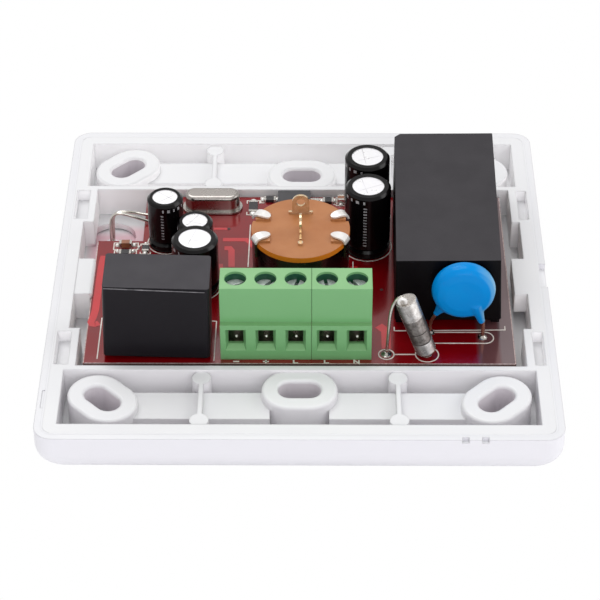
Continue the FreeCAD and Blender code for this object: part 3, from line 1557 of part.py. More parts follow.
# Receiver lamp: a domed lens through the front plate, on two wires bent over the board's edge
LAMP_SIZES = {
    "lamp_flange": 0.4,
    "lamp_flange_height": 0.6,
    "lamp_shoulder": 0.4,
    "lamp_below": 0.4,
    "lamp_lead_radius": 0.25,
    "lamp_lead_gap": 1.1,
    "lamp_pad_x": 25.8,
    "lamp_pad_y": 17.2,
    "lamp_arch_x": 32.8,
    "lamp_arch_z": 1.0,
}
d.add(LAMP_SIZES)
lamp_tip = cover_front - d.lamp_below
dome_start = lamp_tip + d.lamp_radius
flange_low = cover_floor
flange_high = flange_low + d.lamp_flange_height
lamp_top = flange_high + d.lamp_shoulder
DOME_STEPS = 5
lamp_section = [(0, lamp_tip)]
for step in range(1, DOME_STEPS + 1):
    angle = math.radians(90 * step / DOME_STEPS)
    lamp_section.append((d.lamp_radius * math.sin(angle), dome_start - d.lamp_radius * math.cos(angle)))
lamp_section += [
    (d.lamp_radius, flange_low),
    (d.lamp_radius + d.lamp_flange, flange_low),
    (d.lamp_radius + d.lamp_flange, flange_high),
    (d.lamp_radius, flange_high),
    (d.lamp_radius, lamp_top),
    (0, lamp_top),
]
keep("receiver_lamp", place(turned_piece("receiver_lamp", lamp_section), -d.lamp_x, d.lamp_y, 0))
lamp_lead_z = board_top + d.lamp_lead_radius
lamp_routes = []
for side in (-1, 1):
    foot_y = d.lamp_y + d.lamp_lead_gap / 2 * side
    pad_y = d.lamp_pad_y + d.lamp_lead_gap * side
    lamp_routes.append(
        [
            (-d.lamp_x, foot_y, lamp_top),
            (-d.lamp_x, foot_y, d.lamp_arch_z - d.lamp_lead_gap / 2),
            (-d.lamp_arch_x, foot_y, d.lamp_arch_z),
            (-d.lamp_pad_x - d.lamp_lead_gap * 2, pad_y, lamp_lead_z),
            (-d.lamp_pad_x, pad_y, lamp_lead_z),
        ]
    )
keep("lamp_leads", wires("lamp_leads", lamp_routes, d.lamp_lead_radius))

# Small surface parts on top of the board: chip resistors, chip capacitors and a regulator
CHIP_SIZES = {
    "chip_end": 0.4,
    "resistor_height": 0.55,
    "capacitor_height": 1.1,
    "regulator_left": 4.3,
    "regulator_right": 1.6,
    "regulator_front": 18.4,
    "regulator_back": 24.0,
    "regulator_height": 1.6,
    "regulator_tab": 1.6,
    "regulator_tab_height": 0.5,
    "regulator_tab_width": 3.2,
}
d.add(CHIP_SIZES)
RESISTORS = [
    ("left", (-28.35, -27.15), (7.4, 9.4)),
    ("row", (-32.4, -30.2), (6.5, 7.7)),
    ("middle", (-9.6, -8.0), (19.2, 22.4)),
    ("back", (-6.9, -4.7), (22.5, 23.8)),
    ("right", (3.9, 5.9), (22.1, 23.4)),
]
CHIP_CAPACITORS = [
    ("brown", (-32.45, -30.2), (8.7, 9.75)),
    ("side", (6.6, 7.8), (21.9, 23.5)),
]


def chip(name, x, y, height):
    """The body and the two plated ends of a chip, whose ends lie along its longer side."""
    z = (board_top, board_top + height)
    ends = []
    if x[1] - x[0] > y[1] - y[0]:
        spans = [(x[0], x[0] + d.chip_end), (x[1] - d.chip_end, x[1])]
        body = block(name + "_body", (spans[0][1], spans[1][0]), y, z)
        for number, span in enumerate(spans):
            ends.append(block(f"{name}_end_{number}", span, y, z))
    else:
        spans = [(y[0], y[0] + d.chip_end), (y[1] - d.chip_end, y[1])]
        body = block(name + "_body", x, (spans[0][1], spans[1][0]), z)
        for number, span in enumerate(spans):
            ends.append(block(f"{name}_end_{number}", x, span, z))
    return body, ends


chip_ends = []
for node, chips, height in (
    ("chip_resistors", RESISTORS, d.resistor_height),
    ("chip_capacitors", CHIP_CAPACITORS, d.capacitor_height),
):
    bodies = []
    for name, x, y in chips:
        body, ends = chip(f"{node}_{name}", x, y, height)
        bodies.append(body)
        chip_ends += ends
    keep(node, group(node, bodies))
keep("chip_ends", group("chip_ends", chip_ends))
regulator_x = (-d.regulator_left, d.regulator_right)
regulator_y = (d.regulator_front, d.regulator_back)
regulator = block("regulator", regulator_x, regulator_y, (board_top, board_top + d.regulator_height))
tab_y = d.regulator_back - d.regulator_tab_width / 2
regulator_tab = block(
    "regulator_tab",
    (d.regulator_right, d.regulator_right + d.regulator_tab),
    (tab_y - d.regulator_tab_width / 4, tab_y + d.regulator_tab_width / 4),
    (board_top, board_top + d.regulator_tab_height),
)

# Controller under the board: a flat package with seven leads on each long side
CONTROLLER_SIZES = {
    "controller_x": 17.0,
    "controller_y": 13.0,
    "controller_length": 10.0,
    "controller_width": 3.9,
    "controller_height": 1.4,
    "controller_lift": 0.1,
    "controller_lead_width": 0.4,
    "controller_lead_reach": 1.0,
    "controller_pitch": 1.27,
}
d.add(CONTROLLER_SIZES)
LEADS_A_SIDE = 7
controller_top = board_under - d.controller_lift
controller_low = controller_top - d.controller_height
half_length = d.controller_length / 2
half_width = d.controller_width / 2
controller_x = (-d.controller_x - half_length, -d.controller_x + half_length)
controller_y = (d.controller_y - half_width, d.controller_y + half_width)
controller = block("controller", controller_x, controller_y, (controller_low, controller_top))
keep("chip_packages", group("chip_packages", [regulator, controller]))
shin_low = controller_low + d.controller_height / 2
shin_high = shin_low + d.controller_lift
package_leads = [regulator_tab]
for side in (-1, 1):
    for number in range(LEADS_A_SIDE):
        x = d.controller_pitch * (number - (LEADS_A_SIDE - 1) / 2) - d.controller_x
        lead_x = (x - d.controller_lead_width / 2, x + d.controller_lead_width / 2)
        near = half_width
        knee = half_width + d.controller_lead_reach / 2
        far = half_width + d.controller_lead_reach
        pieces = []
        for name, span, z in (
            ("shin", (near, knee), (shin_low, shin_high)),
            ("knee", (knee - d.controller_lift, knee), (shin_low, board_under)),
            ("foot", (knee - d.controller_lift, far), (board_under - d.controller_lift, board_under)),
        ):
            low, high = on_side(span[0], span[1], side)
            y = (d.controller_y + low, d.controller_y + high)
            pieces.append(block(f"controller_{name}_{side + 2}_{number}", lead_x, y, z))
        package_leads.append(fuse(f"controller_lead_{side + 2}_{number}", pieces))
keep("package_leads", group("package_leads", package_leads))

# Circuit board: cut away at its back left for the lamp, and drilled for the shaft and every lead
BOARD_HOLE_SIZES = {
    "pot_hole_gap": 0.3,
    "lead_hole_gap": 0.1,
}
d.add(BOARD_HOLE_SIZES)
board_body = new_body("circuit_board")
board_sketch = sketch_on(board_body, "board_outline", "XY_Plane", board_under)
notch_x = -d.board_left + d.board_notch_width
notch_y = d.board_back - d.board_notch_length
board_corners = [
    (-d.board_left, -d.board_front),
    (d.board_right, -d.board_front),
    (d.board_right, d.board_back),
    (notch_x, d.board_back),
    (notch_x, notch_y),
    (-d.board_left, notch_y),
]
outline(board_sketch, board_corners)
ring(board_sketch, d.pot_can_radius + d.pot_hole_gap)
for x, y, radius in lead_holes:
    ring(board_sketch, as_size(radius) + d.lead_hole_gap, x, y)
pad(board_body, "board_sheet", board_sketch, d.board_thickness)
keep("circuit_board", board_body)

# Every piece is checked and written to its own file
doc.recompute()
for item in doc.Objects:
    if "Invalid" in item.State or "Error" in item.State:
        raise ValueError(item.Label + " did not build")
for name, item in nodes.items():
    shape = item.Shape
    if shape.isNull() or not shape.isValid() or not shape.Solids:
        raise ValueError(name + " has no sound solid")
    shape.exportStep(f"parts/{name}.step")
print(len(nodes), "pieces written")
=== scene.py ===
import math

import bmesh
import bpy
from mathutils import Matrix, Vector


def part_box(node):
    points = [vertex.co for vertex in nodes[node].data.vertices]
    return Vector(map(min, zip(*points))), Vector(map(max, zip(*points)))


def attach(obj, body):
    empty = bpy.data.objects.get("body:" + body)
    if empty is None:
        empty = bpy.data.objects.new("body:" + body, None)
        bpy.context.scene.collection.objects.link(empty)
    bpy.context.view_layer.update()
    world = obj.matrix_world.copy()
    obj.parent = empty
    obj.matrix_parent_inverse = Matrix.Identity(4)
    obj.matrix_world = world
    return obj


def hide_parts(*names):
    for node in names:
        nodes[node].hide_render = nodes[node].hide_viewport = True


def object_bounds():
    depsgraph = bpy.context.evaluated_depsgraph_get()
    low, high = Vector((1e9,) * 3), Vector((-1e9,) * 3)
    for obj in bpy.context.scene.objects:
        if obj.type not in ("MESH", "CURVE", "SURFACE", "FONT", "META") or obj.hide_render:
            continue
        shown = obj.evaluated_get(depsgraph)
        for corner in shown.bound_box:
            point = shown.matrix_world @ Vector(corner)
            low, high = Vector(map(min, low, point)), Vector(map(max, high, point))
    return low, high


# Frame, camera and stage
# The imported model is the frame, and the camera stands where the photograph was taken. A
# white floor, a large soft light from above and two side lights make a plain studio.
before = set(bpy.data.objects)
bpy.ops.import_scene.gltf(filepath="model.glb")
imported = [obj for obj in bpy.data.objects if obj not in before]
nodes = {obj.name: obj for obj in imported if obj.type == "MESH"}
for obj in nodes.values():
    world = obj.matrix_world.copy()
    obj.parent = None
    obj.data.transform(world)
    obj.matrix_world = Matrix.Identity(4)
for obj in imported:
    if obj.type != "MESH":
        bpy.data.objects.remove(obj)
cad_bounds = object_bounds()
scene = bpy.context.scene
scene.view_settings.view_transform = "Standard"
MM = 0.001
PHOTO_SIZE = 600
FOCAL_PIXELS = 2257.8
SENSOR = 36.0
CAMERA_PLACE = (2.59, -310.21, 245.51)
CAMERA_PITCH = 39.03
CAMERA_YAW = -0.505
CAMERA_ROLL = -0.178


def view_matrix():
    """The camera's place, in mm, and its axes from its pitch, yaw and roll, in degrees."""
    pitch, yaw, roll = (math.radians(a) for a in (CAMERA_PITCH, CAMERA_YAW, CAMERA_ROLL))
    reach = math.cos(pitch)
    forward = Vector((math.sin(yaw) * reach, math.cos(yaw) * reach, -math.sin(pitch)))
    right = Vector((math.cos(yaw), -math.sin(yaw), 0))
    up = right.cross(forward)
    right_rolled = right * math.cos(roll) + up * math.sin(roll)
    up_rolled = up * math.cos(roll) - right * math.sin(roll)
    rows = Matrix((right_rolled, up_rolled, -forward)).transposed().to_4x4()
    return Matrix.Translation(Vector(CAMERA_PLACE) * MM) @ rows


camera_data = bpy.data.cameras.new("photo_camera")
camera_data.sensor_width = SENSOR
camera_data.lens = SENSOR * FOCAL_PIXELS / PHOTO_SIZE
camera_data.clip_start = 10 * MM
camera = bpy.data.objects.new("photo_camera", camera_data)
scene.collection.objects.link(camera)
camera.matrix_world = view_matrix()
scene.camera = camera


def area_light(name, place, size, power, colour):
    """A square soft light that faces the object's middle; place and size are in metres."""
    data = bpy.data.lights.new(name, "AREA")
    data.shape = "SQUARE"
    data.size = size
    data.energy = power
    data.color = colour
    light = bpy.data.objects.new(name, data)
    scene.collection.objects.link(light)
    light.location = place
    light.rotation_euler = (-Vector(place)).to_track_quat("-Z", "Y").to_euler()


area_light("key_light", (-0.16, 0.35, 0.75), 0.55, 3.35, (1.0, 1.0, 1.0))
area_light("front_light", (0.1, -0.75, 0.35), 0.6, 2.2, (0.97, 0.96, 1.0))
area_light("right_light", (0.7, 0.05, 0.45), 0.4, 1.4, (1.0, 1.0, 1.0))


def feed(tree, socket, value):
    """Link another node's output to a socket, or set the socket's own value."""
    if isinstance(value, bpy.types.NodeSocket):
        tree.links.new(value, socket)
    else:
        socket.default_value = value


def add(tree, kind, **settings):
    """Add a shader node: small-letter settings are its own, and capital ones feed its sockets."""
    made = tree.nodes.new("ShaderNode" + kind)
    for label, value in settings.items():
        if label.islower():
            setattr(made, label, value)
    for label, value in settings.items():
        if not label.islower():
            feed(tree, made.inputs[label.replace("_", " ")], value)
    return made


WHITE = (1.0, 1.0, 1.0, 1.0)
STUDIO_STRENGTH = 0.75


def white_to_camera(tree, real, white, output):
    """The camera sees plain white, while every other ray meets what is really there."""
    mix = add(tree, "MixShader", Fac=add(tree, "LightPath").outputs["Is Camera Ray"])
    feed(tree, mix.inputs[1], real)
    feed(tree, mix.inputs[2], white)
    feed(tree, tree.nodes[output].inputs["Surface"], mix.outputs["Shader"])


def studio_world():
    """Soft even light from all round, in front of a white backdrop."""
    world = bpy.data.worlds.new("studio")
    world.use_nodes = True
    tree = world.node_tree
    background = tree.nodes["Background"]
    background.inputs["Color"].default_value = WHITE
    background.inputs["Strength"].default_value = STUDIO_STRENGTH
    backdrop = add(tree, "Background", Color=WHITE, Strength=1.0)
    real, white = background.outputs["Background"], backdrop.outputs["Background"]
    white_to_camera(tree, real, white, "World Output")
    return world


scene.world = studio_world()


def floor_material():
    """A white sheet: plain white to the camera, and a soft white bounce for the object."""
    material = bpy.data.materials.new("floor_white")
    material.use_nodes = True
    tree = material.node_tree
    shader = tree.nodes["Principled BSDF"]
    shader.inputs["Base Color"].default_value = (0.9, 0.9, 0.9, 1.0)
    shader.inputs["Roughness"].default_value = 0.6
    glow = add(tree, "Emission", Color=WHITE, Strength=1.0)
    white_to_camera(tree, shader.outputs["BSDF"], glow.outputs["Emission"], "Material Output")
    return material


FLOOR_REACH = 1600 * MM
floor_height = float(cad_bounds[0][2])
signs = ((-1, -1), (1, -1), (1, 1), (-1, 1))
corners = [(x * FLOOR_REACH, y * FLOOR_REACH, floor_height) for x, y in signs]
floor_mesh = bpy.data.meshes.new("floor")
floor_mesh.from_pydata(corners, [], [(0, 1, 2, 3)])
floor = bpy.data.objects.new("floor", floor_mesh)
floor_mesh.materials.append(floor_material())
scene.collection.objects.link(floor)

# Front plate
# A smooth white moulding with a fine grain and soft edges, which the frame clips into. The
# shared surface that every moulded and plated piece gets is made here.


def make_group(name, inputs, outputs):
    """An empty node group with named sockets, and the sockets at its two ends."""
    group = bpy.data.node_groups.new(name, "ShaderNodeTree")
    for label, kind in inputs.items():
        group.interface.new_socket(label, in_out="INPUT", socket_type="NodeSocket" + kind)
    for label, kind in outputs.items():
        group.interface.new_socket(label, in_out="OUTPUT", socket_type="NodeSocket" + kind)
    given = group.nodes.new("NodeGroupInput").outputs
    result = group.nodes.new("NodeGroupOutput").inputs
    return group, given, result


def ramp(tree, value, low, high, **ends):
    """How far a value has come from low to high: from 0 to 1, or between the ends given."""
    return add(tree, "MapRange", Value=value, From_Min=low, From_Max=high, **ends).outputs["Result"]


def blend(tree, share, first, second, **settings):
    """The first colour where the share is 0, and the second where it is 1."""
    mix = add(tree, "Mix", data_type="RGBA", Factor=share, A=first, B=second, **settings)
    return mix.outputs["Result"]


def maths(tree, operation, *values):
    """One step of arithmetic on sockets and plain numbers."""
    made = add(tree, "Math", operation=operation)
    for socket, value in zip(made.inputs, values):
        feed(tree, socket, value)
    return made.outputs["Value"]


def object_place(tree):
    """Where a point lies on the object: its X, Y and Z, in metres."""
    return add(tree, "SeparateXYZ", Vector=add(tree, "TexCoord").outputs["Object"]).outputs


def face_way(tree, normal="Normal"):
    """Which way a face looks: the X, Y and Z of its normal."""
    return add(tree, "SeparateXYZ", Vector=add(tree, "NewGeometry").outputs[normal]).outputs


# How far the clouds spread in the noise, and how steep a face is as its shade changes
CLOUD_RANGE = (0.3, 0.7)
UPRIGHT_RANGE = (0.25, 0.85)


def fine_surface_group():
    """Two shades in soft clouds, gloss that follows them, a fine grain and rounded edges."""
    group, given, result = make_group(
        "fine_surface",
        {
            "Light": "Color",
            "Dark": "Color",
            "Cloud Scale": "Float",
            "Grain Scale": "Float",
            "Grain Depth": "Float",
            "Edge": "Float",
            "Smooth": "Float",
            "Rough": "Float",
        },
        {"Colour": "Color", "Roughness": "Float", "Normal": "Vector"},
    )
    place = add(group, "TexCoord").outputs["Object"]
    clouds = add(group, "TexNoise", Vector=place, Scale=given["Cloud Scale"], Detail=4)
    grains = add(group, "TexNoise", Vector=place, Scale=given["Grain Scale"], Detail=3)
    cloud, grain = clouds.outputs["Fac"], grains.outputs["Fac"]
    edge = add(group, "Bevel", samples=6, Radius=given["Edge"]).outputs["Normal"]
    bump = add(group, "Bump", Distance=given["Grain Depth"], Height=grain, Normal=edge)
    share = ramp(group, cloud, *CLOUD_RANGE)
    gloss = ramp(group, cloud, *CLOUD_RANGE, To_Min=given["Smooth"], To_Max=given["Rough"])
    feed(group, result["Colour"], blend(group, share, given["Light"], given["Dark"]))
    feed(group, result["Roughness"], gloss)
    feed(group, result["Normal"], bump.outputs["Normal"])
    return group


def upright_shade_group():
    """One colour on level faces that passes into another where they turn upright."""
    group, given, result = make_group(
        "upright_shade", {"Level": "Color", "Upright": "Color"}, {"Colour": "Color"}
    )
    share = ramp(group, face_way(group)["Z"], *UPRIGHT_RANGE)
    feed(group, result["Colour"], blend(group, share, given["Upright"], given["Level"]))
    return group


FINE_SURFACE = fine_surface_group()
UPRIGHT_SHADE = upright_shade_group()


def srgb(red, green, blue):
    """A colour given by its three screen values, as the light that the shader wants."""
    values = []
    for number in (red, green, blue):
        share = number / 255
        values.append(share / 12.92 if share <= 0.04045 else ((share + 0.055) / 1.055) ** 2.4)
    return (*values, 1.0)


def surface(
    name, light, dark, rough, clouds=150, grain=2600, depth=0.01, edge=0.2, side=None, **own
):
    """A material with the shared surface; depth and edge are in mm, own values go to the shader.

    A side is a colour for the upright faces, or a function that makes one in the material.
    """
    material = bpy.data.materials.new(name)
    material.use_nodes = True
    tree = material.node_tree
    shader = tree.nodes["Principled BSDF"]
    smooth, dull = rough
    look = add(
        tree, "Group", node_tree=FINE_SURFACE, Light=light, Dark=dark, Smooth=smooth, Rough=dull,
        Cloud_Scale=clouds, Grain_Scale=grain, Grain_Depth=depth * MM, Edge=edge * MM,
    )
    colour = look.outputs["Colour"]
    if side is not None:
        upright = side(tree) if callable(side) else side
        turned = add(tree, "Group", node_tree=UPRIGHT_SHADE, Level=colour, Upright=upright)
        colour = turned.outputs["Colour"]
    feed(tree, shader.inputs["Base Color"], colour)
    feed(tree, shader.inputs["Roughness"], look.outputs["Roughness"])
    feed(tree, shader.inputs["Normal"], look.outputs["Normal"])
    for label, value in own.items():
        shader.inputs[label.replace("_", " ")].default_value = value
    return material


def repaint(material, paint):
    """Change a material's colour: paint takes its tree and the colour, and gives the new one."""
    tree = material.node_tree
    base = tree.nodes["Principled BSDF"].inputs["Base Color"]
    feed(tree, base, paint(tree, base.links[0].from_socket))


def dress(material, *names):
    """Give carried-over pieces their material."""
    for name in names:
        mesh = nodes[name].data
        mesh.materials.clear()
        mesh.materials.append(material)


# Along each axis, where the painted glow begins and where it is full
GLOW_EDGES = [
    ("X", -39.2, -37.6), ("X", -26.0, -27.5), ("Y", 21.6, 19.6), ("Y", 9.0, 11.0), ("Z", -4.9, -5.5)
]
GLOW_PINK = srgb(212, 178, 186)


def board_glow_group():
    """Painted reflected light: the red board's colour, painted on the floor of the bay that its
    notch leaves open.
    """
    group, given, result = make_group("board_glow", {"Colour": "Color"}, {"Colour": "Color"})
    place = object_place(group)
    share = 1.0
    for axis, clear, full in GLOW_EDGES:
        share = maths(group, "MULTIPLY", share, ramp(group, place[axis], clear * MM, full * MM))
    feed(group, result["Colour"], blend(group, share, given["Colour"], GLOW_PINK))
    return group


BOARD_GLOW = board_glow_group()


def lit_by_board(tree, colour):
    """A white piece's colour with the board's glow painted on it."""
    return add(tree, "Group", node_tree=BOARD_GLOW, Colour=colour).outputs["Colour"]


# Painted light: the upright faces are painted a little paler and bluer than the level ones.
front_white = surface(
    "front_white", srgb(214, 214, 216), srgb(211, 211, 214), (0.3, 0.36),
    clouds=60, depth=0.004, edge=0.3, side=srgb(219, 218, 223),
)
repaint(front_white, lit_by_board)
dress(front_white, "cover_plate")

# Mounting frame
# One moulding in the same white, a little duller and with softer edges. Its floors keep the
# round marks of the ejector pins, and a fine seam parts it from the plate's rim.
OUTER_SIDE = -26.5
INNER_SIDE = -25.0


def painted_wall_light(tree):
    """Painted light and shade: upright faces are painted pale behind the frame's front wall, and
    greyer in its shade in front of it.
    """
    share = ramp(tree, object_place(tree)["Y"], OUTER_SIDE * MM, INNER_SIDE * MM)
    return blend(tree, share, srgb(222, 220, 223), srgb(253, 252, 253))


# The side colour paints light and shade on the frame's upright faces.
frame_white = surface(
    "frame_white", srgb(214, 214, 215), srgb(211, 211, 213), (0.38, 0.46),
    clouds=80, depth=0.006, edge=0.35, side=painted_wall_light,
)
repaint(frame_white, lit_by_board)
dress(frame_white, "mounting_frame")
BASE = "dimmer_base"


def mesh_piece(name, bm, material, body=BASE, smooth=None):
    """Turn a bmesh into a piece that rides on a body; smooth is its sharpest soft angle."""
    bmesh.ops.recalc_face_normals(bm, faces=bm.faces)
    mesh = bpy.data.meshes.new(name)
    bm.to_mesh(mesh)
    bm.free()
    mesh.materials.append(material)
    piece = bpy.data.objects.new(name, mesh)
    scene.collection.objects.link(piece)
    if smooth is not None:
        for polygon in mesh.polygons:
            polygon.use_smooth = True
        mesh.set_sharp_from_angle(angle=math.radians(smooth))
    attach(piece, body)
    return piece


def lathe(bm, profile, centre, steps=48, turn=None):
    """Turn a profile of (radius, height) pairs, in mm, about an axis through the centre."""
    rings = []
    spin = turn or Matrix.Identity(3)
    for radius, height in profile:
        if radius == 0:
            rings.append([bm.verts.new((Vector(centre) + spin @ Vector((0, 0, height))) * MM)])
            continue
        row = []
        for step in range(steps):
            angle = 2 * math.pi * step / steps
            spot = Vector((radius * math.cos(angle), radius * math.sin(angle), height))
            row.append(bm.verts.new((Vector(centre) + spin @ spot) * MM))
        rings.append(row)
    for low, high in zip(rings, rings[1:]):
        for step in range(steps):
            after = (step + 1) % steps
            if len(low) == 1:
                bm.faces.new((low[0], high[step], high[after]))
            elif len(high) == 1:
                bm.faces.new((low[step], low[after], high[0]))
            else:
                bm.faces.new((low[step], low[after], high[after], high[step]))


MITRE_LIMIT = 0.35


def band(bm, points, width, low, high, closed=False):
    """A flat band of even width along the points, with mitred corners, from low to high."""
    spots = [Vector(point) for point in points]
    count = len(spots)
    rails = []
    for number, spot in enumerate(spots):
        before = spots[(number - 1) % count] if closed or number else None
        after = spots[(number + 1) % count] if closed or number < count - 1 else None
        ways = []
        if before is not None:
            ways.append((spot - before).normalized())
        if after is not None:
            ways.append((after - spot).normalized())
        normals = [Vector((-way.y, way.x)) for way in ways]
        middle = sum(normals, Vector((0, 0))).normalized()
        reach = width / 2 / max(MITRE_LIMIT, middle.dot(normals[0]))
        quad = []
        for side, height in ((1, low), (-1, low), (-1, high), (1, high)):
            x, y = spot + middle * (reach * side)
            quad.append(bm.verts.new((x * MM, y * MM, height * MM)))
        rails.append(quad)
    pairs = list(zip(rails, rails[1:]))
    if closed:
        pairs.append((rails[-1], rails[0]))
    for first, second in pairs:
        for edge in range(4):
            after = (edge + 1) % 4
            bm.faces.new((first[edge], first[after], second[after], second[edge]))
    if not closed:
        bm.faces.new(rails[0])
        bm.faces.new(rails[-1][::-1])


def arc(x, y, radius, start=0, end=360, steps=32):
    """Points round a circle, from one angle to another."""
    angles = [math.radians(start + (end - start) * step / steps) for step in range(steps + 1)]
    return [(x + radius * math.cos(angle), y + radius * math.sin(angle)) for angle in angles]


def patch(bm, points, low, high):
    """A flat plate with the points as its corners."""
    top = [bm.verts.new((x * MM, y * MM, high * MM)) for x, y in points]
    foot = [bm.verts.new((x * MM, y * MM, low * MM)) for x, y in points]
    bm.faces.new(top)
    bm.faces.new(foot[::-1])
    for number in range(len(points)):
        after = (number + 1) % len(points)
        bm.faces.new((top[number], foot[number], foot[after], top[after]))


EJECTOR_SPOTS = [
    (-26.0, 37.2), (8.4, 37.2), (26.0, 37.2),
    (-26.0, -37.4), (-8.6, -37.4), (8.6, -37.4), (25.5, -37.4),
]
EJECTOR_PROFILE = [(0, -5.62), (0.9, -5.62), (1.0, -5.66), (1.0, -5.72)]
bm = bmesh.new()
for x, y in EJECTOR_SPOTS:
    lathe(bm, EJECTOR_PROFILE, (x, y, 0), steps=24)
mesh_piece("ejector_marks", bm, frame_white, smooth=40)

SCREW_SPACING = 60.3
CORNER_SLOT = 32.4
# The middle of each slot, and its turn in degrees
SLOT_SPOTS = [(0, SCREW_SPACING / 2, 0), (0, -SCREW_SPACING / 2, 0)]
for x, y in ((-1, -1), (1, -1), (-1, 1), (1, 1)):
    SLOT_SPOTS.append((x * CORNER_SLOT, y * CORNER_SLOT, -45 * x * y))
SLOT_RADIUS = 1.96
SLOT_HALF = 1.55
SLOT_SHADE_SHEET = 0.04
SLOT_FOOT = -5.6
SLOT_TOP = -1.0
# Painted shade: a thin greyish sheet lines the walls of each slot, for the shade inside it.
slot_shade = surface(
    "slot_shade", srgb(214, 208, 213), srgb(210, 204, 209), (0.5, 0.6),
    clouds=200, depth=0.002, edge=0.01,
)
bm = bmesh.new()
for x, y, angle in SLOT_SPOTS:
    way = Vector((math.cos(math.radians(angle)), math.sin(math.radians(angle)))) * SLOT_HALF
    outline = arc(x + way.x, y + way.y, SLOT_RADIUS, angle - 90, angle + 90, steps=16)
    outline += arc(x - way.x, y - way.y, SLOT_RADIUS, angle + 90, angle + 270, steps=16)
    band(bm, outline, SLOT_SHADE_SHEET, SLOT_FOOT, SLOT_TOP, closed=True)
mesh_piece("slot_shade_sheets", bm, slot_shade)

SEAM_GAP = 0.15
SEAM_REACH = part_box("mounting_frame")[1].x / MM + SEAM_GAP / 2
SEAM_CORNER = 1.9
SEAM_WIDTH = 0.24
SEAM_FOOT = -0.06
SEAM_TOP = 0.004
PRY_FOOT = -0.7
PRY_TOP = -0.12
PRY_SLOT = [(-42.28, -35.45), (-41.86, -35.45), (-41.86, -31.15), (-42.28, -31.15)]
seam_white = surface(
    "seam_white", srgb(216, 216, 218), srgb(213, 213, 216), (0.4, 0.48),
    clouds=60, depth=0.002, edge=0.01,
)
seam_line = []
for x, y, start in ((1, 1, 0), (-1, 1, 90), (-1, -1, 180), (1, -1, 270)):
    centre = SEAM_REACH - SEAM_CORNER
    seam_line += arc(x * centre, y * centre, SEAM_CORNER, start, start + 90, steps=8)
bm = bmesh.new()
band(bm, seam_line, SEAM_WIDTH, SEAM_FOOT, SEAM_TOP, closed=True)
patch(bm, PRY_SLOT, PRY_FOOT, PRY_TOP)
mesh_piece("frame_seam", bm, seam_white)

# Circuit board
# Glass-fibre laminate under red lacquer. Wide copper tracks stand a little proud and look
# paler, and a thin white print, tinned pads and solder complete the upper face.
low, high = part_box("circuit_board")
BOARD_UNDER = low.z / MM
BOARD_TOP = high.z / MM
# Where each step of grey begins and ends, and its colour
GREY_STEPS = [(29.7, 30.5, srgb(94, 60, 62)), (33.5, 34.1, srgb(104, 92, 94))]
# Bare laminate on the cut edges, and a darker copy of it that paints shade on the edges facing
# front and back
SIDE_CUT = srgb(222, 204, 196)
FRONT_CUT = srgb(104, 84, 82)


def board_shades(tree, colour):
    """The colour turns greyer in two steps towards the right; the bare cut edges get painted shade
    at front and back.
    """
    across = object_place(tree)["X"]
    for low, high, grey in GREY_STEPS:
        colour = blend(tree, ramp(tree, across, low * MM, high * MM), colour, grey)
    way = face_way(tree, "True Normal")
    cut = blend(tree, maths(tree, "ABSOLUTE", way["Y"]), SIDE_CUT, FRONT_CUT)
    upright = maths(tree, "LESS_THAN", maths(tree, "ABSOLUTE", way["Z"]), 0.5)
    return blend(tree, upright, colour, cut)


board_red = surface(
    "board_red", srgb(128, 5, 14), srgb(106, 0, 8), (0.1, 0.16),
    clouds=90, grain=1500, depth=0.004, edge=0.08, Coat_Weight=0.25, Coat_Roughness=0.06,
    Specular_IOR_Level=1.0, Specular_Tint=(1.0, 0.66, 0.66, 1.0),
)
repaint(board_red, board_shades)
dress(board_red, "circuit_board")

TRACK_LOW = BOARD_TOP - 0.01
TRACK_TOP = BOARD_TOP + 0.03
# The width of each track, and the points along its middle
TRACKS = [
    (0.57, [(-15.76, 14.48), (-13.1, 14.43)]),
    (1.0, [(-14.03, 11.23), (-9.81, 11.24), (-9.16, 10.45), (-8.5, 9.13)]),
    (1.15, [(-13.68, 8.74), (-12.78, 8.74), (-12.41, 8.1), (-12.26, 3.34)]),
    (0.9, [(-14.24, 4.19), (-14.24, 2.47)]),
    (
        1.25,
        [
            (-35.04, 6.42), (-35.2, 4.6), (-35.28, 2.97), (-35.38, -8.75), (-35.6, -10.6),
            (-35.9, -12.01), (-35.6, -12.6), (-35.16, -12.68), (-34.51, -12.27),
        ],
    ),
    (1.2, [(9.4, 3.6), (9.4, -11.8)]),
    (1.6, [(14.6, -18.9), (14.6, -14.2), (13.4, -12.8)]),
]
track_red = surface(
    "track_red", srgb(196, 40, 46), srgb(178, 28, 36), (0.12, 0.2),
    clouds=120, depth=0.004, edge=0.04, Coat_Weight=0.6, Coat_Roughness=0.08,
)
bm = bmesh.new()
for width, points in TRACKS:
    band(bm, points, width, TRACK_LOW, TRACK_TOP)
mesh_piece("board_tracks", bm, track_red)

PRINT_TOP = TRACK_TOP + 0.03
LINE = 0.19
MARK_LINE = 0.26
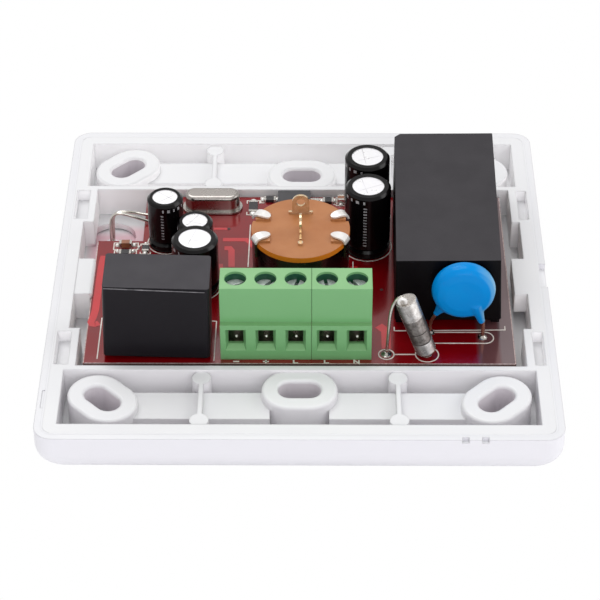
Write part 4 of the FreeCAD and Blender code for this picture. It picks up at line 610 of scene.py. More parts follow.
# The middle and the radius of each printed ring
FUSE_RINGS = [(14.55, -20.43, 1.3), (21.4, -20.4, 1.95)]
CAPACITOR_RINGS = [
    (11.8, 9.4, 4.35), (11.8, 18.3, 4.35),
    (-24.0, 10.4, 3.45), (-18.6, 6.1, 3.45), (-18.2, -2.1, 4.3),
]
VARISTOR_LEFT = 22.1
VARISTOR_RIGHT = 31.4
VARISTOR_MIDDLE = -16.0
VARISTOR_END = 1.46
PRINT_LINES = [
    [(16.05, -14.2), (34.95, -13.9), (34.95, -12.9)],
    [(16.05, -14.2), (16.05, -13.2)],
    [(-15.84, -11.66), (-14.37, -11.79), (-14.42, -22.2)],
    [(-9.2, 15.64), (-9.34, 3.35)],
    [(-34.09, -10.92), (-34.12, -21.76)],
    [(9.2, 4.85), (9.2, -12.6)],
    [(15.85, -20.43), (19.45, -20.4)],
    [(VARISTOR_LEFT, -14.55), (VARISTOR_RIGHT, -14.55)],
    [(VARISTOR_LEFT, -17.46), (VARISTOR_RIGHT, -17.46)],
    arc(VARISTOR_RIGHT, VARISTOR_MIDDLE, VARISTOR_END, -90, 90),
    arc(VARISTOR_LEFT, VARISTOR_MIDDLE, VARISTOR_END, 90, 270),
]
CAGES = [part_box(f"clamp_cage_{number}") for number in range(1, 6)]
WAYS = [(low.x + high.x) / 2 / MM for low, high in CAGES]
MARK_MIDDLE = -22.35
# The strokes of each mark, from the middle of its way
MINUS = [[(-0.5, 0.0), (0.5, 0.0)]]
PLUS = MINUS + [[(0.0, 0.4), (0.0, -0.4)]]
LIVE = [[(-0.35, 0.4), (-0.35, -0.35), (0.4, -0.35)]]
NEUTRAL = [[(-0.4, -0.45), (-0.4, 0.4), (0.4, -0.4), (0.4, 0.4)]]
# The middle, length and width of the frame round each chip
CHIP_FRAMES = [
    (-8.8, 20.8, 2.3, 4.3),
    (-5.8, 23.15, 3.3, 1.7),
    (4.9, 22.75, 3.1, 1.8),
    (7.2, 22.7, 1.7, 2.4),
    (-31.3, 9.2, 4.3, 1.9),
    (-31.3, 7.1, 3.9, 1.7),
    (-27.75, 8.4, 1.8, 2.9),
]
BRACKET = 0.6


def print_line(bm, points, width=LINE, closed=False):
    """One printed line on the lacquer."""
    band(bm, points, width, TRACK_LOW, PRINT_TOP, closed)


def chip_bracket(bm, x, y, length, width, side):
    """A square bracket round one end of a chip, open towards its middle."""
    end = side * max(length, width) / 2
    half = min(length, width) / 2
    points = [(end * BRACKET, -half), (end, -half), (end, half), (end * BRACKET, half)]
    if length <= width:
        points = [(across, along) for along, across in points]
    print_line(bm, [(x + across, y + up) for across, up in points])


print_white = surface(
    "print_white", srgb(226, 222, 214), srgb(205, 196, 188), (0.5, 0.6),
    clouds=900, depth=0.002, edge=0.02,
)
bm = bmesh.new()
for points in PRINT_LINES:
    print_line(bm, points)
for x, y, radius in FUSE_RINGS + CAPACITOR_RINGS:
    print_line(bm, arc(x, y, radius)[:-1], closed=True)
for x, strokes in zip(WAYS, (MINUS, PLUS, LIVE, LIVE, NEUTRAL)):
    for stroke in strokes:
        print_line(bm, [(x + across, MARK_MIDDLE + up) for across, up in stroke], MARK_LINE)
for chip in CHIP_FRAMES:
    chip_bracket(bm, *chip, -1)
    chip_bracket(bm, *chip, 1)
mesh_piece("board_print", bm, print_white)

tin = surface(
    "tin_solder", srgb(200, 196, 190), srgb(170, 166, 160), (0.16, 0.3),
    clouds=900, grain=3000, depth=0.01, edge=0.06, Metallic=1.0,
)
SOLDER_LOW = BOARD_TOP - 0.01
# The place of each soldered lead, and the radius of its wire and of its pad
LEADS = [
    (14.55, -20.3, 0.3, 0.95),
    (21.3, -20.3, 0.3, 0.9),
    (22.1, -14.6, 0.3, 0.8),
    (31.0, -15.8, 0.3, 0.8),
    (-25.8, 18.3, 0.25, 0.6),
    (-25.8, 16.1, 0.25, 0.6),
    (-5.0, 11.15, 0.6, 0.95),
    (0.0, 11.15, 0.6, 0.95),
    (5.0, 11.15, 0.6, 0.95),
]
bm = bmesh.new()
for x, y, wire, pad in LEADS:
    rise = [
        (pad, 0), (pad, 0.06), (pad * 0.86, 0.1),
        (wire + 0.2, 0.22), (wire + 0.05, 0.5), (wire * 0.9, 0.52), (0, 0.52),
    ]
    lathe(bm, rise, (x, y, SOLDER_LOW), steps=28)
mesh_piece("solder_top", bm, tin, smooth=50)

# The place and the radius of each blob of solder at a chip's end
BLOBS = [
    (-32.85, 9.35, 0.42), (-29.85, 9.5, 0.5), (-32.7, 7.6, 0.36), (-29.95, 7.6, 0.4),
    (-28.95, 8.8, 0.3), (-27.75, 7.1, 0.5), (-27.75, 9.75, 0.42), (-8.8, 18.95, 0.7),
    (-8.8, 22.6, 0.7), (-7.1, 23.15, 0.5), (-4.5, 23.15, 0.5), (3.7, 22.75, 0.5),
    (6.05, 22.75, 0.4), (7.2, 21.7, 0.45), (7.2, 23.7, 0.4),
]
blob_tin = surface(
    "blob_tin", srgb(246, 244, 240), srgb(226, 222, 216), (0.2, 0.3),
    clouds=900, depth=0.006, edge=0.04, Metallic=0.5,
)
bm = bmesh.new()
for x, y, radius in BLOBS:
    dome = [(radius, 0), (radius * 0.92, 0.2), (radius * 0.6, 0.42), (0, 0.5)]
    lathe(bm, dome, (x, y, SOLDER_LOW), steps=20)
mesh_piece("chip_solder", bm, blob_tin, smooth=60)

UNDER_LEADS = [
    (14.55, -20.3), (21.3, -20.3), (22.1, -14.6), (31.0, -15.8),
    (11.8, 7.65), (11.8, 11.15), (11.8, 16.55), (11.8, 20.05),
    (-24.0, 9.15), (-24.0, 11.65), (-18.6, 4.85), (-18.6, 7.35), (-18.2, -3.85), (-18.2, -0.35),
    (-18.64, 20.8), (-13.76, 20.8),
]
UNDER_PROFILE = [(0.85, 0), (0.82, -0.1), (0.5, -0.45), (0.36, -1.0), (0, -1.1)]
bm = bmesh.new()
for x, y in UNDER_LEADS:
    lathe(bm, UNDER_PROFILE, (x, y, BOARD_UNDER + 0.01), steps=24)
mesh_piece("solder_under", bm, tin, smooth=50)

EDGE_WIDTH = 0.16
EDGE_FOOT = BOARD_TOP - 0.05
EDGE_TOP = BOARD_TOP + 0.015
BOARD_EDGES = [
    [(-36.2, -22.82), (36.1, -22.82)],
    [(-36.38, -22.8), (-36.38, 10.6)],
    [(36.2, -22.8), (36.2, 23.9)],
]
laminate = surface(
    "laminate_edge", srgb(214, 196, 192), srgb(150, 120, 118), (0.4, 0.5),
    clouds=2400, grain=3000, depth=0.01, edge=0.02,
)
bm = bmesh.new()
for points in BOARD_EDGES:
    band(bm, points, EDGE_WIDTH, EDGE_FOOT, EDGE_TOP)
mesh_piece("board_edges", bm, laminate)

VIAS = [(-13.1, 14.43), (-8.0, 6.9), (14.1, -3.0)]
VIA_RADIUS = 0.3
VIA_TOP = TRACK_TOP + 0.012
# Painted shade: dark discs stand for the shade inside the via holes.
hole_dark = surface(
    "hole_dark", srgb(44, 10, 12), srgb(34, 6, 8), (0.4, 0.5), clouds=600, edge=0.01
)
bm = bmesh.new()
for x, y in VIAS:
    lathe(bm, [(VIA_RADIUS, TRACK_LOW), (VIA_RADIUS, VIA_TOP), (0, VIA_TOP)], (x, y, 0), steps=20)
mesh_piece("board_vias", bm, hole_dark)

# Potentiometer
# A dark plated can, nutted to the front plate, with a phenolic switch disc on top. Bright
# petals bent out of the can hold the disc, and two tinned lugs stand on it.
plated = surface(
    "dull_plate", srgb(176, 172, 164), srgb(150, 146, 138), (0.28, 0.42),
    clouds=500, grain=2400, depth=0.006, edge=0.08, Metallic=1.0,
)
dress(plated, "pot_bushing", "pot_shaft", "pot_washer", "pot_nut")
bright_tin = surface(
    "bright_tin", srgb(226, 222, 214), srgb(200, 196, 186), (0.1, 0.22),
    clouds=900, depth=0.004, edge=0.05, Metallic=1.0,
)
dress(bright_tin, "pot_terminals", "power_module_pins", "terminal_pins")
dress(bright_tin, "capacitor_leads", "crystal_leads", "relay_pins")
warm_tin = surface(
    "warm_tin", srgb(228, 208, 178), srgb(200, 172, 134), (0.12, 0.24),
    clouds=900, depth=0.004, edge=0.06, Metallic=0.8,
)
dress(warm_tin, "pot_switch_lugs")
DISC_BROWN = srgb(170, 113, 70)
phenolic = surface(
    "phenolic_board", DISC_BROWN, srgb(160, 101, 58), (0.34, 0.46),
    clouds=260, grain=2200, depth=0.01, edge=0.1, side=srgb(226, 126, 30), Specular_IOR_Level=0.3,
)
dress(phenolic, "pot_switch_disc", "pot_track", "pot_wiper")
DISC_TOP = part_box("pot_switch_disc")[1].z / MM
TIP_FADE = 0.1


def brown_tips(tree, colour):
    """The can's own tabs end in the disc's brown, and dull, where they come up through it."""
    metallic = tree.nodes["Principled BSDF"].inputs["Metallic"]
    above = ramp(tree, object_place(tree)["Z"], (DISC_TOP - TIP_FADE) * MM, DISC_TOP * MM)
    feed(tree, metallic, maths(tree, "SUBTRACT", 1.0, above))
    return blend(tree, above, colour, DISC_BROWN)


dark_plate = surface(
    "dark_plate", srgb(96, 90, 88), srgb(70, 64, 62), (0.22, 0.34),
    clouds=400, depth=0.005, edge=0.06, Metallic=1.0,
)
repaint(dark_plate, brown_tips)
dress(dark_plate, "pot_can")


def strip_sweep(bm, path, widths, thickness, across):
    """A flat strip bent along a path; across is the direction of its width."""
    spots = [Vector(point) for point in path]
    side = Vector(across).normalized()
    rails = []
    for number, spot in enumerate(spots):
        before = spots[max(0, number - 1)]
        after = spots[min(len(spots) - 1, number + 1)]
        way = (after - before).normalized()
        up = side.cross(way).normalized()
        half_width = widths[number] / 2
        quad = []
        for first, second in ((1, 0), (-1, 0), (-1, 1), (1, 1)):
            corner = spot + side * (half_width * first) + up * (thickness * second)
            quad.append(bm.verts.new(corner * MM))
        rails.append(quad)
    for first, second in zip(rails, rails[1:]):
        for edge in range(4):
            after = (edge + 1) % 4
            bm.faces.new((first[edge], first[after], second[after], second[edge]))
    bm.faces.new(rails[0])
    bm.faces.new(rails[-1][::-1])


# The radius, height and width of a petal along its bend
PETAL_SECTION = [
    (8.6, 9.8, 1.8), (8.55, 10.15, 1.8), (8.3, 10.42, 1.8), (7.8, 10.58, 1.8), (7.2, 10.6, 1.75),
    (6.7, 10.54, 1.6), (6.3, 10.47, 1.3), (6.0, 10.4, 0.9), (5.85, 10.36, 0.3),
]
PETAL_THICKNESS = 0.35
PETAL_ANGLES = (25, 155, 205, 335)
petal_tin = surface(
    "petal_tin", srgb(238, 236, 234), srgb(220, 216, 212), (0.16, 0.28),
    clouds=700, depth=0.004, edge=0.06, Metallic=0.35,
)
bm = bmesh.new()
for angle in PETAL_ANGLES:
    way = Vector((math.cos(math.radians(angle)), math.sin(math.radians(angle)), 0))
    route = [way * radius + Vector((0, 0, z)) for radius, z, width in PETAL_SECTION]
    widths = [width for radius, z, width in PETAL_SECTION]
    strip_sweep(bm, route, widths, PETAL_THICKNESS, (-way.y, way.x, 0))
mesh_piece("pot_tabs", bm, petal_tin, smooth=60)

# Knob
# A white fluted cap pressed on the flat of the potentiometer's shaft, on the side that the
# photograph doesn't show. Its pointer groove is filled with grey paint.
knob_white = surface(
    "knob_white", srgb(243, 243, 244), srgb(240, 240, 242), (0.28, 0.34),
    clouds=60, depth=0.004, edge=0.25,
)
dress(knob_white, "knob")
line_grey = surface(
    "line_grey", srgb(96, 98, 104), srgb(84, 86, 92), (0.45, 0.55),
    clouds=300, depth=0.003, edge=0.05,
)
POINTER_HALF = 0.7
POINTER_START = 5.4
POINTER_END = 14.0
PAINT_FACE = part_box("knob")[0].z / MM + 0.25
PAINT_BACK = PAINT_FACE + 0.25
corners = [
    (-POINTER_HALF, POINTER_START), (POINTER_HALF, POINTER_START),
    (POINTER_HALF, POINTER_END), (-POINTER_HALF, POINTER_END),
]
bm = bmesh.new()
patch(bm, corners, PAINT_FACE, PAINT_BACK)
mesh_piece("knob_pointer", bm, line_grey, body="knob_and_shaft")

# Terminal blocks
# Satin green mouldings, a three-way and a two-way block that slot together at a fine seam.
# Plated cages rise under slotted screws, which sit deep in round wells.
# Painted shade: the upright faces are painted a little darker than the level ones.
green = surface(
    "terminal_green", srgb(124, 174, 118), srgb(116, 166, 110), (0.32, 0.4),
    clouds=120, grain=2000, depth=0.006, edge=0.14, side=srgb(113, 168, 112),
)
dress(green, "terminal_housing_3", "terminal_housing_2")
cage_metal = surface(
    "cage_plate", srgb(150, 144, 136), srgb(110, 104, 98), (0.24, 0.4),
    clouds=700, depth=0.006, edge=0.06, Metallic=1.0,
)
screw_tin = surface(
    "screw_plate", srgb(236, 240, 237), srgb(168, 178, 173), (0.14, 0.32),
    clouds=1100, grain=2600, depth=0.02, edge=0.12, Metallic=0.45,
)
for number in range(1, len(WAYS) + 1):
    dress(cage_metal, f"clamp_cage_{number}")
    dress(screw_tin, f"clamp_screw_{number}")

SCREW_LINE = (CAGES[0][0].y + CAGES[0][1].y) / 2 / MM
# Painted shade: a thin dark green sheet inside each well, for the shade deep in it.
WELL_SHADE_SHEET = [(1.815, 9.85), (1.825, 9.85), (1.825, 12.75), (1.815, 12.7), (1.815, 9.85)]
painted_well_shade = surface(
    "painted_well_shade", srgb(22, 84, 58), srgb(16, 70, 48), (0.3, 0.4),
    clouds=300, depth=0.004, edge=0.02,
)
bm = bmesh.new()
for x in WAYS:
    lathe(bm, WELL_SHADE_SHEET, (x, SCREW_LINE, 0), steps=40)
mesh_piece("well_shade", bm, painted_well_shade, smooth=40)

SEAM_LEFT = 1.852
SEAM_RIGHT = 1.948
# The front, back, foot and top of the seam's two steps
SEAM_BLOCKS = [(-21.785, -14.02, -1.1, 6.135), (-20.785, -15.22, 6.0, 13.185)]
bm = bmesh.new()
for front, back, low, high in SEAM_BLOCKS:
    outline = [(SEAM_LEFT, front), (SEAM_RIGHT, front), (SEAM_RIGHT, back), (SEAM_LEFT, back)]
    patch(bm, outline, low, high)
mesh_piece("housing_seam", bm, green)

# Painted highlights: small bright domes in the mouths of the cages stand for glints.
GLINT_FRONT = -20.7
GLINT_HEIGHT = 3.0
GLINT = [(0.24, -0.1), (0.2, 0.06), (0.1, 0.12), (0, 0.14)]
to_front = Matrix.Rotation(math.radians(90), 3, "X")
bm = bmesh.new()
for x in WAYS:
    lathe(bm, GLINT, (x + 0.1, GLINT_FRONT, GLINT_HEIGHT), steps=16, turn=to_front)
mesh_piece("cage_glints", bm, blob_tin, smooth=60)

# Power module
# A satin black moulded box with a fine grain, filled with potting compound from below and
# soldered to the board by its pins.
# Painted shade: the upright faces are painted near black, far darker than the level top.
module_black = surface(
    "module_black", srgb(57, 55, 58), srgb(53, 51, 54), (0.4, 0.48),
    clouds=200, grain=3200, depth=0.02, edge=0.18, side=srgb(7, 5, 7), Specular_IOR_Level=0.1,
)
dress(module_black, "power_module_case")
compound = surface(
    "potting", srgb(40, 40, 42), srgb(34, 34, 36), (0.3, 0.5),
    clouds=300, depth=0.01, edge=0.1,
)
dress(compound, "power_module_potting")

# Relay
# A satin black box, with a highlight painted along its front top edge. It hides an iron yoke, a
# copper winding on its bobbin, an armature and a brass contact leaf.
# Painted shade: the upright faces are painted darker than the level top.
relay_black = surface(
    "relay_black", srgb(59, 57, 61), srgb(54, 52, 56), (0.34, 0.44),
    clouds=220, grain=2600, depth=0.012, edge=0.2, side=srgb(26, 24, 28), Specular_IOR_Level=0.15,
)
dress(relay_black, "relay_case", "relay_base")
dress(plated, "relay_core", "relay_armature")
bobbin = surface("bobbin", srgb(60, 60, 66), srgb(50, 50, 56), (0.4, 0.5), edge=0.08)
dress(bobbin, "relay_bobbin")
copper = surface(
    "copper_wire", srgb(196, 112, 72), srgb(168, 88, 52), (0.2, 0.34),
    clouds=600, grain=4200, depth=0.02, edge=0.04, Metallic=1.0,
)
dress(copper, "relay_winding")
brass = surface(
    "spring_brass", srgb(204, 172, 104), srgb(184, 150, 84), (0.2, 0.3),
    clouds=500, edge=0.04, Metallic=1.0,
)
dress(brass, "relay_spring")

# Painted highlight: a thin pale strip along the front top edge of the case.
HIGHLIGHT_LINE = [(-32.2, -21.98, 14.12), (-24.0, -22.02, 13.74), (-15.6, -22.05, 13.36)]
HIGHLIGHT_WIDTHS = [0.2, 0.18, 0.12]
HIGHLIGHT_DEPTH = 0.04
painted_edge_highlight = surface(
    "painted_edge_highlight", srgb(136, 134, 138), srgb(50, 48, 52), (0.4, 0.5),
    clouds=420, grain=2600, depth=0.01, edge=0.02,
)
bm = bmesh.new()
strip_sweep(bm, HIGHLIGHT_LINE, HIGHLIGHT_WIDTHS, HIGHLIGHT_DEPTH, (0, 0, 1))
mesh_piece("relay_edge_highlight", bm, painted_edge_highlight)

# Capacitors
# Bright scored cans in black shrunk sleeves, on rubber seals. Short printed dashes run round
# the top of each sleeve and down its front.
sleeve = surface(
    "sleeve_black", srgb(10, 8, 9), srgb(6, 4, 5), (0.14, 0.24),
    clouds=260, grain=1800, depth=0.006, edge=0.1, Coat_Weight=0.05, Coat_Roughness=0.1,
    Specular_IOR_Level=0.2,
)
dress(sleeve, *[f"capacitor_sleeve_{number}" for number in range(1, 6)])
can_metal = surface(
    "can_metal", srgb(234, 233, 234), srgb(222, 221, 224), (0.25, 0.4),
    clouds=700, grain=2600, depth=0.006, edge=0.06, Metallic=0.6,
)
dress(can_metal, "capacitor_cans")
rubber = surface("seal_rubber", srgb(34, 34, 34), srgb(28, 28, 28), (0.6, 0.7), edge=0.05)
dress(rubber, "capacitor_seals")
score_grey = surface(
    "score_grey", srgb(168, 167, 170), srgb(214, 213, 216), (0.3, 0.4),
    clouds=700, edge=0.02, Metallic=0.5,
)
mark_white = surface(
    "sleeve_print", srgb(176, 176, 178), srgb(120, 120, 124), (0.4, 0.5),
    clouds=900, depth=0.002, edge=0.02,
)
# The middle, radius and top of each capacitor, and the turn of the lines scored in it
CAPACITORS = [
    (11.8, 9.4, 4.0, 12.2, 205),
    (11.8, 18.3, 4.0, 12.2, 200),
    (-24.0, 10.4, 3.15, 9.0, -40),
    (-18.6, 6.1, 3.15, 7.0, 160),
    (-18.2, -2.1, 4.0, 9.4, 175),
]
CAN_DROP = 0.15
SCORE_TURN = 78
SCORE_WIDTH = 0.1
INK = 0.012
RING_DASHES = 7
RING_PITCH = 18
RING_FOOT = 1.35
RING_TOP = 0.75
WIDE_DASH = 9
NARROW_DASH = 5
DASH_ANGLE = -98
DASH_START = 1.8
DASH_END = 2.2
DASH_PITCH = 0.62
DASH_HEIGHT = 0.28


def wrapped(bm, centre, radius, angle, span, low, high):
    """A printed patch that lies on the side of a round sleeve."""
    steps = 8
    rows = []
    for height in (low, high):
        row = []
        for step in range(steps + 1):
            turn = math.radians(angle + span * (step / steps - 0.5))
            x = centre[0] + radius * math.cos(turn)
            y = centre[1] + radius * math.sin(turn)
            row.append(bm.verts.new((x * MM, y * MM, height * MM)))
        rows.append(row)
    for step in range(steps):
        bm.faces.new((rows[0][step], rows[0][step + 1], rows[1][step + 1], rows[1][step]))


def score_can(bm, x, y, radius, top, angle):
    """Two crossing lines pressed into a can's top, where it is meant to give way."""
    reach = radius * 0.6
    for turn, shift in ((angle, 0.12), (angle + SCORE_TURN, -0.15)):
        way = Vector((math.cos(math.radians(turn)), math.sin(math.radians(turn))))
        middle = Vector((x, y)) + Vector((-way.y, way.x)) * (radius * shift)
        line = [middle - way * reach, middle + way * (reach * 0.8)]
        band(bm, line, SCORE_WIDTH, top - CAN_DROP - 0.02, top - CAN_DROP + 0.01)


def print_sleeve(bm, x, y, radius, top, angle):
    """Wide and narrow dashes round the top of a sleeve, and a column of them down its front."""
    for step in range(RING_DASHES):
        span = WIDE_DASH if step % 2 else NARROW_DASH
        turn = angle + RING_PITCH * (step - RING_DASHES // 2)
        wrapped(bm, (x, y), radius + INK, turn, span, top - RING_FOOT, top - RING_TOP)
    height = DASH_START
    while height < top - DASH_END:
        wrapped(bm, (x, y), radius + INK, DASH_ANGLE, WIDE_DASH, height, height + DASH_HEIGHT)
        height += DASH_PITCH


bm_score = bmesh.new()
bm_mark = bmesh.new()
for capacitor in CAPACITORS:
    score_can(bm_score, *capacitor)
    print_sleeve(bm_mark, *capacitor)
mesh_piece("can_scores", bm_score, score_grey)
mesh_piece("sleeve_stripes", bm_mark, mark_white)

# Varistor
# A disc dipped in blue lacquer, which rounds its rims and runs down both copper leads. A
# highlight is painted on its rim on the right.
RIM_HIGHLIGHT = srgb(104, 160, 196)
RIM_RANGE = (0.3, 0.95)


def painted_rim_highlight(tree, colour):
    """Painted highlight: the lacquer is painted paler where it turns to the right."""
    return blend(tree, ramp(tree, face_way(tree)["X"], *RIM_RANGE), colour, RIM_HIGHLIGHT)


blue = surface(
    "blue_lacquer", srgb(0, 132, 204), srgb(0, 124, 198), (0.3, 0.4),
    clouds=160, grain=900, depth=0.01, edge=0.1, Coat_Weight=0.12, Coat_Roughness=0.12,
    Specular_IOR_Level=0.05,
)
repaint(blue, painted_rim_highlight)


def melt(piece, voxel, rounds):
    """Melt overlapping forms into one skin and smooth it; the voxel is in mm."""
    skin = piece.modifiers.new("skin", "REMESH")
    skin.mode = "VOXEL"
    skin.voxel_size = voxel * MM
    skin.use_smooth_shade = True
    soft = piece.modifiers.new("soft", "SMOOTH")
    soft.factor = 0.5
    soft.iterations = rounds
    settled = piece.evaluated_get(bpy.context.evaluated_depsgraph_get())
    mesh = bpy.data.meshes.new_from_object(settled)
    piece.modifiers.clear()
    piece.data = mesh
    for polygon in mesh.polygons:
        polygon.use_smooth = True


VARISTOR = (27.4, -15.3, 8.7)
DISC_PROFILE = [
    (0, -1.9), (3.2, -1.88), (4.5, -1.6), (5.15, -1.0), (5.4, 0),
    (5.15, 1.0), (4.5, 1.6), (3.2, 1.88), (0, 1.9),
]
# The top and the foot of each lacquered neck, and its radius at both
NECKS = [
    ((24.3, -15.25, 5.6), (22.9, -14.9, 3.15), 1.2, 0.5),
    ((29.4, -16.3, 6.6), (30.7, -15.9, 2.3), 1.25, 0.6),
]
bm = bmesh.new()
lathe(bm, DISC_PROFILE, VARISTOR, steps=64, turn=Matrix.Rotation(math.radians(-90), 3, "X"))
for top_spot, low_spot, wide, thin in NECKS:
    way = Vector(low_spot) - Vector(top_spot)
    length = way.length
    neck = [
        (0, 0), (wide, 0), (wide * 0.8, length * 0.4),
        (thin * 1.2, length * 0.75), (thin, length), (0, length + 0.1),
    ]
    lathe(bm, neck, top_spot, steps=24, turn=way.to_track_quat("Z", "Y").to_matrix())
varistor = mesh_piece("varistor_body", bm, blue)
melt(varistor, voxel=0.16, rounds=6)
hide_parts("varistor_disc")


def wire_piece(name, routes, radius, material):
    """Round wires that follow smooth curves through the points, in mm."""
    data = bpy.data.curves.new(name, "CURVE")
    data.dimensions = "3D"
    data.bevel_depth = radius * MM
    data.bevel_resolution = 5
    data.use_fill_caps = True
    for route in routes:
        spline = data.splines.new("NURBS")
        spline.points.add(len(route) - 1)
        for point, spot in zip(spline.points, route):
            point.co = (*(Vector(spot) * MM), 1)
        spline.order_u = 3
        spline.use_endpoint_u = True
        spline.resolution_u = 8
    data.materials.append(material)
    piece = bpy.data.objects.new(name, data)
    scene.collection.objects.link(piece)
    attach(piece, BASE)
    return piece


coppery = surface(
    "coppery_wire", srgb(190, 150, 130), srgb(160, 118, 100), (0.2, 0.34),
    clouds=900, depth=0.01, edge=0.03, Metallic=1.0,
)
LEFT_WIRE = [
    (24.6, -15.3, 6.0), (24.2, -15.2, 5.0), (22.5, -14.8, 2.4), (22.1, -14.6, 0.9),
    (22.1, -14.6, -1.0), (22.1, -14.6, -4.2),
]
RIGHT_WIRE = [
    (30.5, -15.4, 6.0), (30.8, -15.6, 3.4), (31.0, -15.8, 1.4), (31.0, -15.8, -1.0),
    (31.0, -15.8, -4.2),
]
VARISTOR_WIRE = 0.3
varistor_wires = wire_piece(
    "varistor_wires", [LEFT_WIRE, RIGHT_WIRE], VARISTOR_WIRE, coppery
)
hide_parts("varistor_leads")

# Fuse
# A plated tube with a speckled middle between bright caps, which stands on one lead. The
# other lead curls over its top and comes down to the board beside it.

# Where each painted streak of light lies across the tube, and how bright it is
STREAKS = [
    (0.0, 0.06), (0.18, 0.2), (0.38, 0.52), (0.58, 0.42), (0.72, 1.0), (0.84, 1.0), (0.95, 0.25)
]


def painted_tube_light_group():
    """Painted light: streaks of light and shade painted across a shiny tube, following the normal's
    X.
    """
    group, given, result = make_group("painted_tube_light", {"Colour": "Color"}, {"Colour": "Color"})
    bands = add(group, "ValToRGB", Fac=ramp(group, face_way(group)["X"], -1.0, 1.0))
    while len(bands.color_ramp.elements) < len(STREAKS):
        bands.color_ramp.elements.new(0.5)
    for stop, (place, value) in zip(bands.color_ramp.elements, STREAKS):
        stop.position = place
        stop.color = (value, value, value, 1.0)
    streaked = blend(group, 1.0, given["Colour"], bands.outputs["Color"], blend_type="MULTIPLY")
    feed(group, result["Colour"], streaked)
    return group


PAINTED_TUBE_LIGHT = painted_tube_light_group()


def in_painted_light(tree, colour):
    """A tube's colour with the streaks of light painted on it."""
    return add(tree, "Group", node_tree=PAINTED_TUBE_LIGHT, Colour=colour).outputs["Colour"]


cap_tin = surface(
    "cap_tin", srgb(206, 200, 194), srgb(160, 154, 148), (0.14, 0.32),
    clouds=900, grain=2600, depth=0.02, edge=0.12, Metallic=1.0,
)
dress(cap_tin, "fuse_caps")
speckle = surface(
    "fuse_speckle", srgb(188, 182, 176), srgb(120, 112, 108), (0.3, 0.5),
    clouds=1700, grain=3500, depth=0.03, edge=0.1, Metallic=0.7,
)
# The speckle is the tube's own; the streaks over it are painted light.
repaint(speckle, in_painted_light)
dress(speckle, "fuse_tube")
bright_cap = surface(
    "fuse_cap", srgb(252, 250, 247), srgb(206, 200, 195), (0.16, 0.32),
    clouds=1300, grain=3000, depth=0.02, edge=0.08, Metallic=0.5,
)
# The bright caps get the same painted streaks of light.
repaint(bright_cap, in_painted_light)
dark_ring = surface(
    "fuse_ring", srgb(66, 60, 58), srgb(48, 44, 42), (0.4, 0.5), clouds=900, edge=0.02
)
FUSE_TILT = math.radians(19.1)
FUSE_FOOT = Vector((21.25, -20.3, -0.35))
FUSE_LENGTH = 11.5
# Each skin's name, finish and profile, in mm along the tilted tube
FUSE_SKINS = [
    ("fuse_low_cap", bright_cap, [(0, 0.1), (1.6, 0.1), (1.76, 0.3), (1.78, 2.5), (1.66, 2.56)]),
    ("fuse_low_ring", dark_ring, [(1.66, 2.5), (1.72, 2.55), (1.72, 2.72), (1.66, 2.78)]),
    ("fuse_middle", speckle, [(1.66, 2.74), (1.79, 2.8), (1.79, 4.75), (1.66, 4.8)]),
    ("fuse_high_ring", dark_ring, [(1.66, 4.78), (1.73, 4.8), (1.73, 4.92), (1.66, 4.95)]),
    ("fuse_upper", speckle, [(1.66, 4.92), (1.84, 5.0), (1.84, 7.8), (1.7, 7.85)]),
    (
        "fuse_top_cap", bright_cap,
        [(1.7, 7.75), (1.85, 7.85), (1.85, 11.2), (1.78, 11.4), (1.6, 11.42)],
    ),
    ("fuse_top_face", speckle, [(1.66, 11.3), (1.62, 11.4), (1.2, 11.36), (0, 11.36)]),
]
fuse_way = Vector((-math.sin(FUSE_TILT), 0, math.cos(FUSE_TILT)))
fuse_turn = fuse_way.to_track_quat("Z", "Y").to_matrix()
for name, material, profile in FUSE_SKINS:
    bm = bmesh.new()
    lathe(bm, profile, FUSE_FOOT, steps=48, turn=fuse_turn)
    mesh_piece(name, bm, material, smooth=35)

EYE = Vector((16.95, -20.9, 10.6))
EYE_WIDE = 0.62
EYE_HIGH = 0.72
EYE_STEPS = 13
EYE_START = -20
EYE_TURN = 30
EYE_PITCH = 0.03
eye_turns = []
for step in range(EYE_STEPS):
    angle = math.radians(EYE_START + EYE_TURN * step)
    back = EYE_PITCH * step - 0.2
    eye_turns.append(EYE + Vector((math.cos(angle) * EYE_WIDE, back, math.sin(angle) * EYE_HIGH)))
FOOT_WIRE = [FUSE_FOOT - Vector((0, 0, 0.1)), (21.3, -20.3, -2.0), (21.3, -20.3, -4.2)]
TOP_WIRE = [
    FUSE_FOOT + fuse_way * FUSE_LENGTH,
    FUSE_FOOT + fuse_way * (FUSE_LENGTH + 0.4),
    (17.3, -20.5, 11.2),
]
DOWN_WIRE = [
    (16.9, -20.5, 11.35), (16.2, -20.5, 11.1), (15.6, -20.4, 9.9), (15.2, -20.3, 8.6),
    (14.95, -20.3, 6.6), (14.8, -20.3, 3.4), (14.65, -20.3, 0.0), (14.55, -20.3, -2.0),
    (14.55, -20.3, -4.2),
]
FUSE_WIRE = 0.27
EYE_WIRE = 0.3
FUSE_ROUTES = [FOOT_WIRE, TOP_WIRE, DOWN_WIRE]
fuse_wires = wire_piece("fuse_wires", FUSE_ROUTES, FUSE_WIRE, bright_tin)
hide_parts("fuse_leads")
wire_piece("fuse_eye", [eye_turns], EYE_WIRE, petal_tin)

# Crystal
# A drawn metal can with rounded ends and a polished, slightly warm skin, which lies on the
# board by its two leads.
crystal_metal = surface(
    "crystal_metal", srgb(170, 165, 160), srgb(152, 146, 142), (0.22, 0.32),
    clouds=300, depth=0.004, edge=0.12, Metallic=1.0,
)
dress(crystal_metal, "crystal_can")

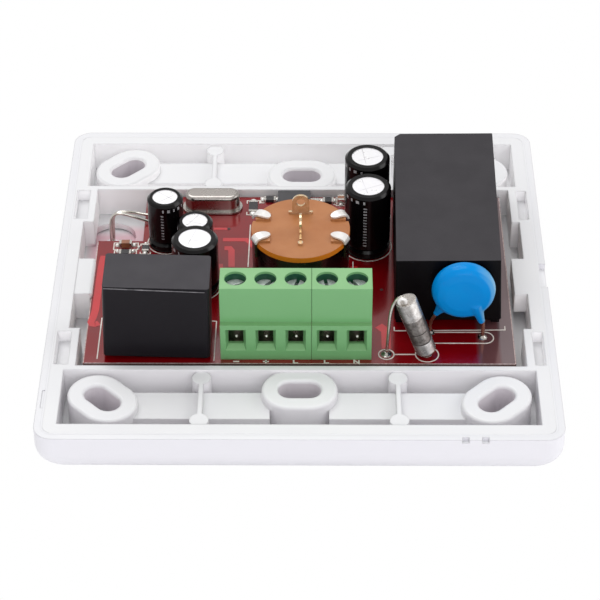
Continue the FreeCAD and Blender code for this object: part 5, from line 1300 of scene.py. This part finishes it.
# Receiver lamp
# A milky lens that looks out of the front plate, on two bright wires that bend over the edge
# of the board's notch.
lens_milk = surface(
    "lens_milk", srgb(238, 234, 238), srgb(226, 222, 228), (0.2, 0.28),
    clouds=300, depth=0.001, edge=0.05, Transmission_Weight=0.15, IOR=1.5,
)
dress(lens_milk, "receiver_lamp")
LAMP_WIRE = 0.28
FRONT_LAMP_WIRE = [
    (-34.6, 15.95, -6.1), (-34.55, 15.95, -3.5), (-34.5, 15.95, -1.2), (-34.35, 16.0, -0.1),
    (-33.7, 16.0, 0.9), (-32.6, 16.0, 1.15), (-30.4, 15.95, 0.45), (-28.2, 15.95, -0.5),
    (-27.0, 16.1, -0.95), (-25.8, 16.1, -0.95),
]
BACK_LAMP_WIRE = [
    (-34.2, 16.5, -6.1), (-34.15, 16.5, -3.5), (-34.1, 16.5, -1.0), (-33.95, 16.5, 0.1),
    (-33.4, 16.5, 0.85), (-32.3, 16.6, 1.0), (-30.4, 17.0, 0.6), (-28.2, 17.7, -0.5),
    (-27.0, 18.3, -0.95), (-25.8, 18.3, -0.95),
]
lamp_routes = [FRONT_LAMP_WIRE, BACK_LAMP_WIRE]
lamp_wires = wire_piece("lamp_wires", lamp_routes, LAMP_WIRE, bright_tin)
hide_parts("lamp_leads")

# Small surface parts
# Black and brown chips with tinned ends, a black regulator with its tab, and a controller
# in a black package under the board, all soldered to their pads.
chip_black = surface(
    "chip_black", srgb(40, 38, 40), srgb(30, 28, 30), (0.24, 0.34),
    clouds=600, depth=0.004, edge=0.06,
)
dress(chip_black, "chip_resistors")
chip_brown = surface(
    "chip_brown", srgb(150, 96, 66), srgb(128, 78, 52), (0.3, 0.42),
    clouds=700, depth=0.006, edge=0.1,
)
dress(chip_brown, "chip_capacitors")
dress(tin, "chip_ends", "package_leads")
package_black = surface(
    "package_black", srgb(52, 50, 54), srgb(44, 42, 46), (0.4, 0.5),
    clouds=400, grain=3200, depth=0.01, edge=0.12,
)
dress(package_black, "chip_packages")
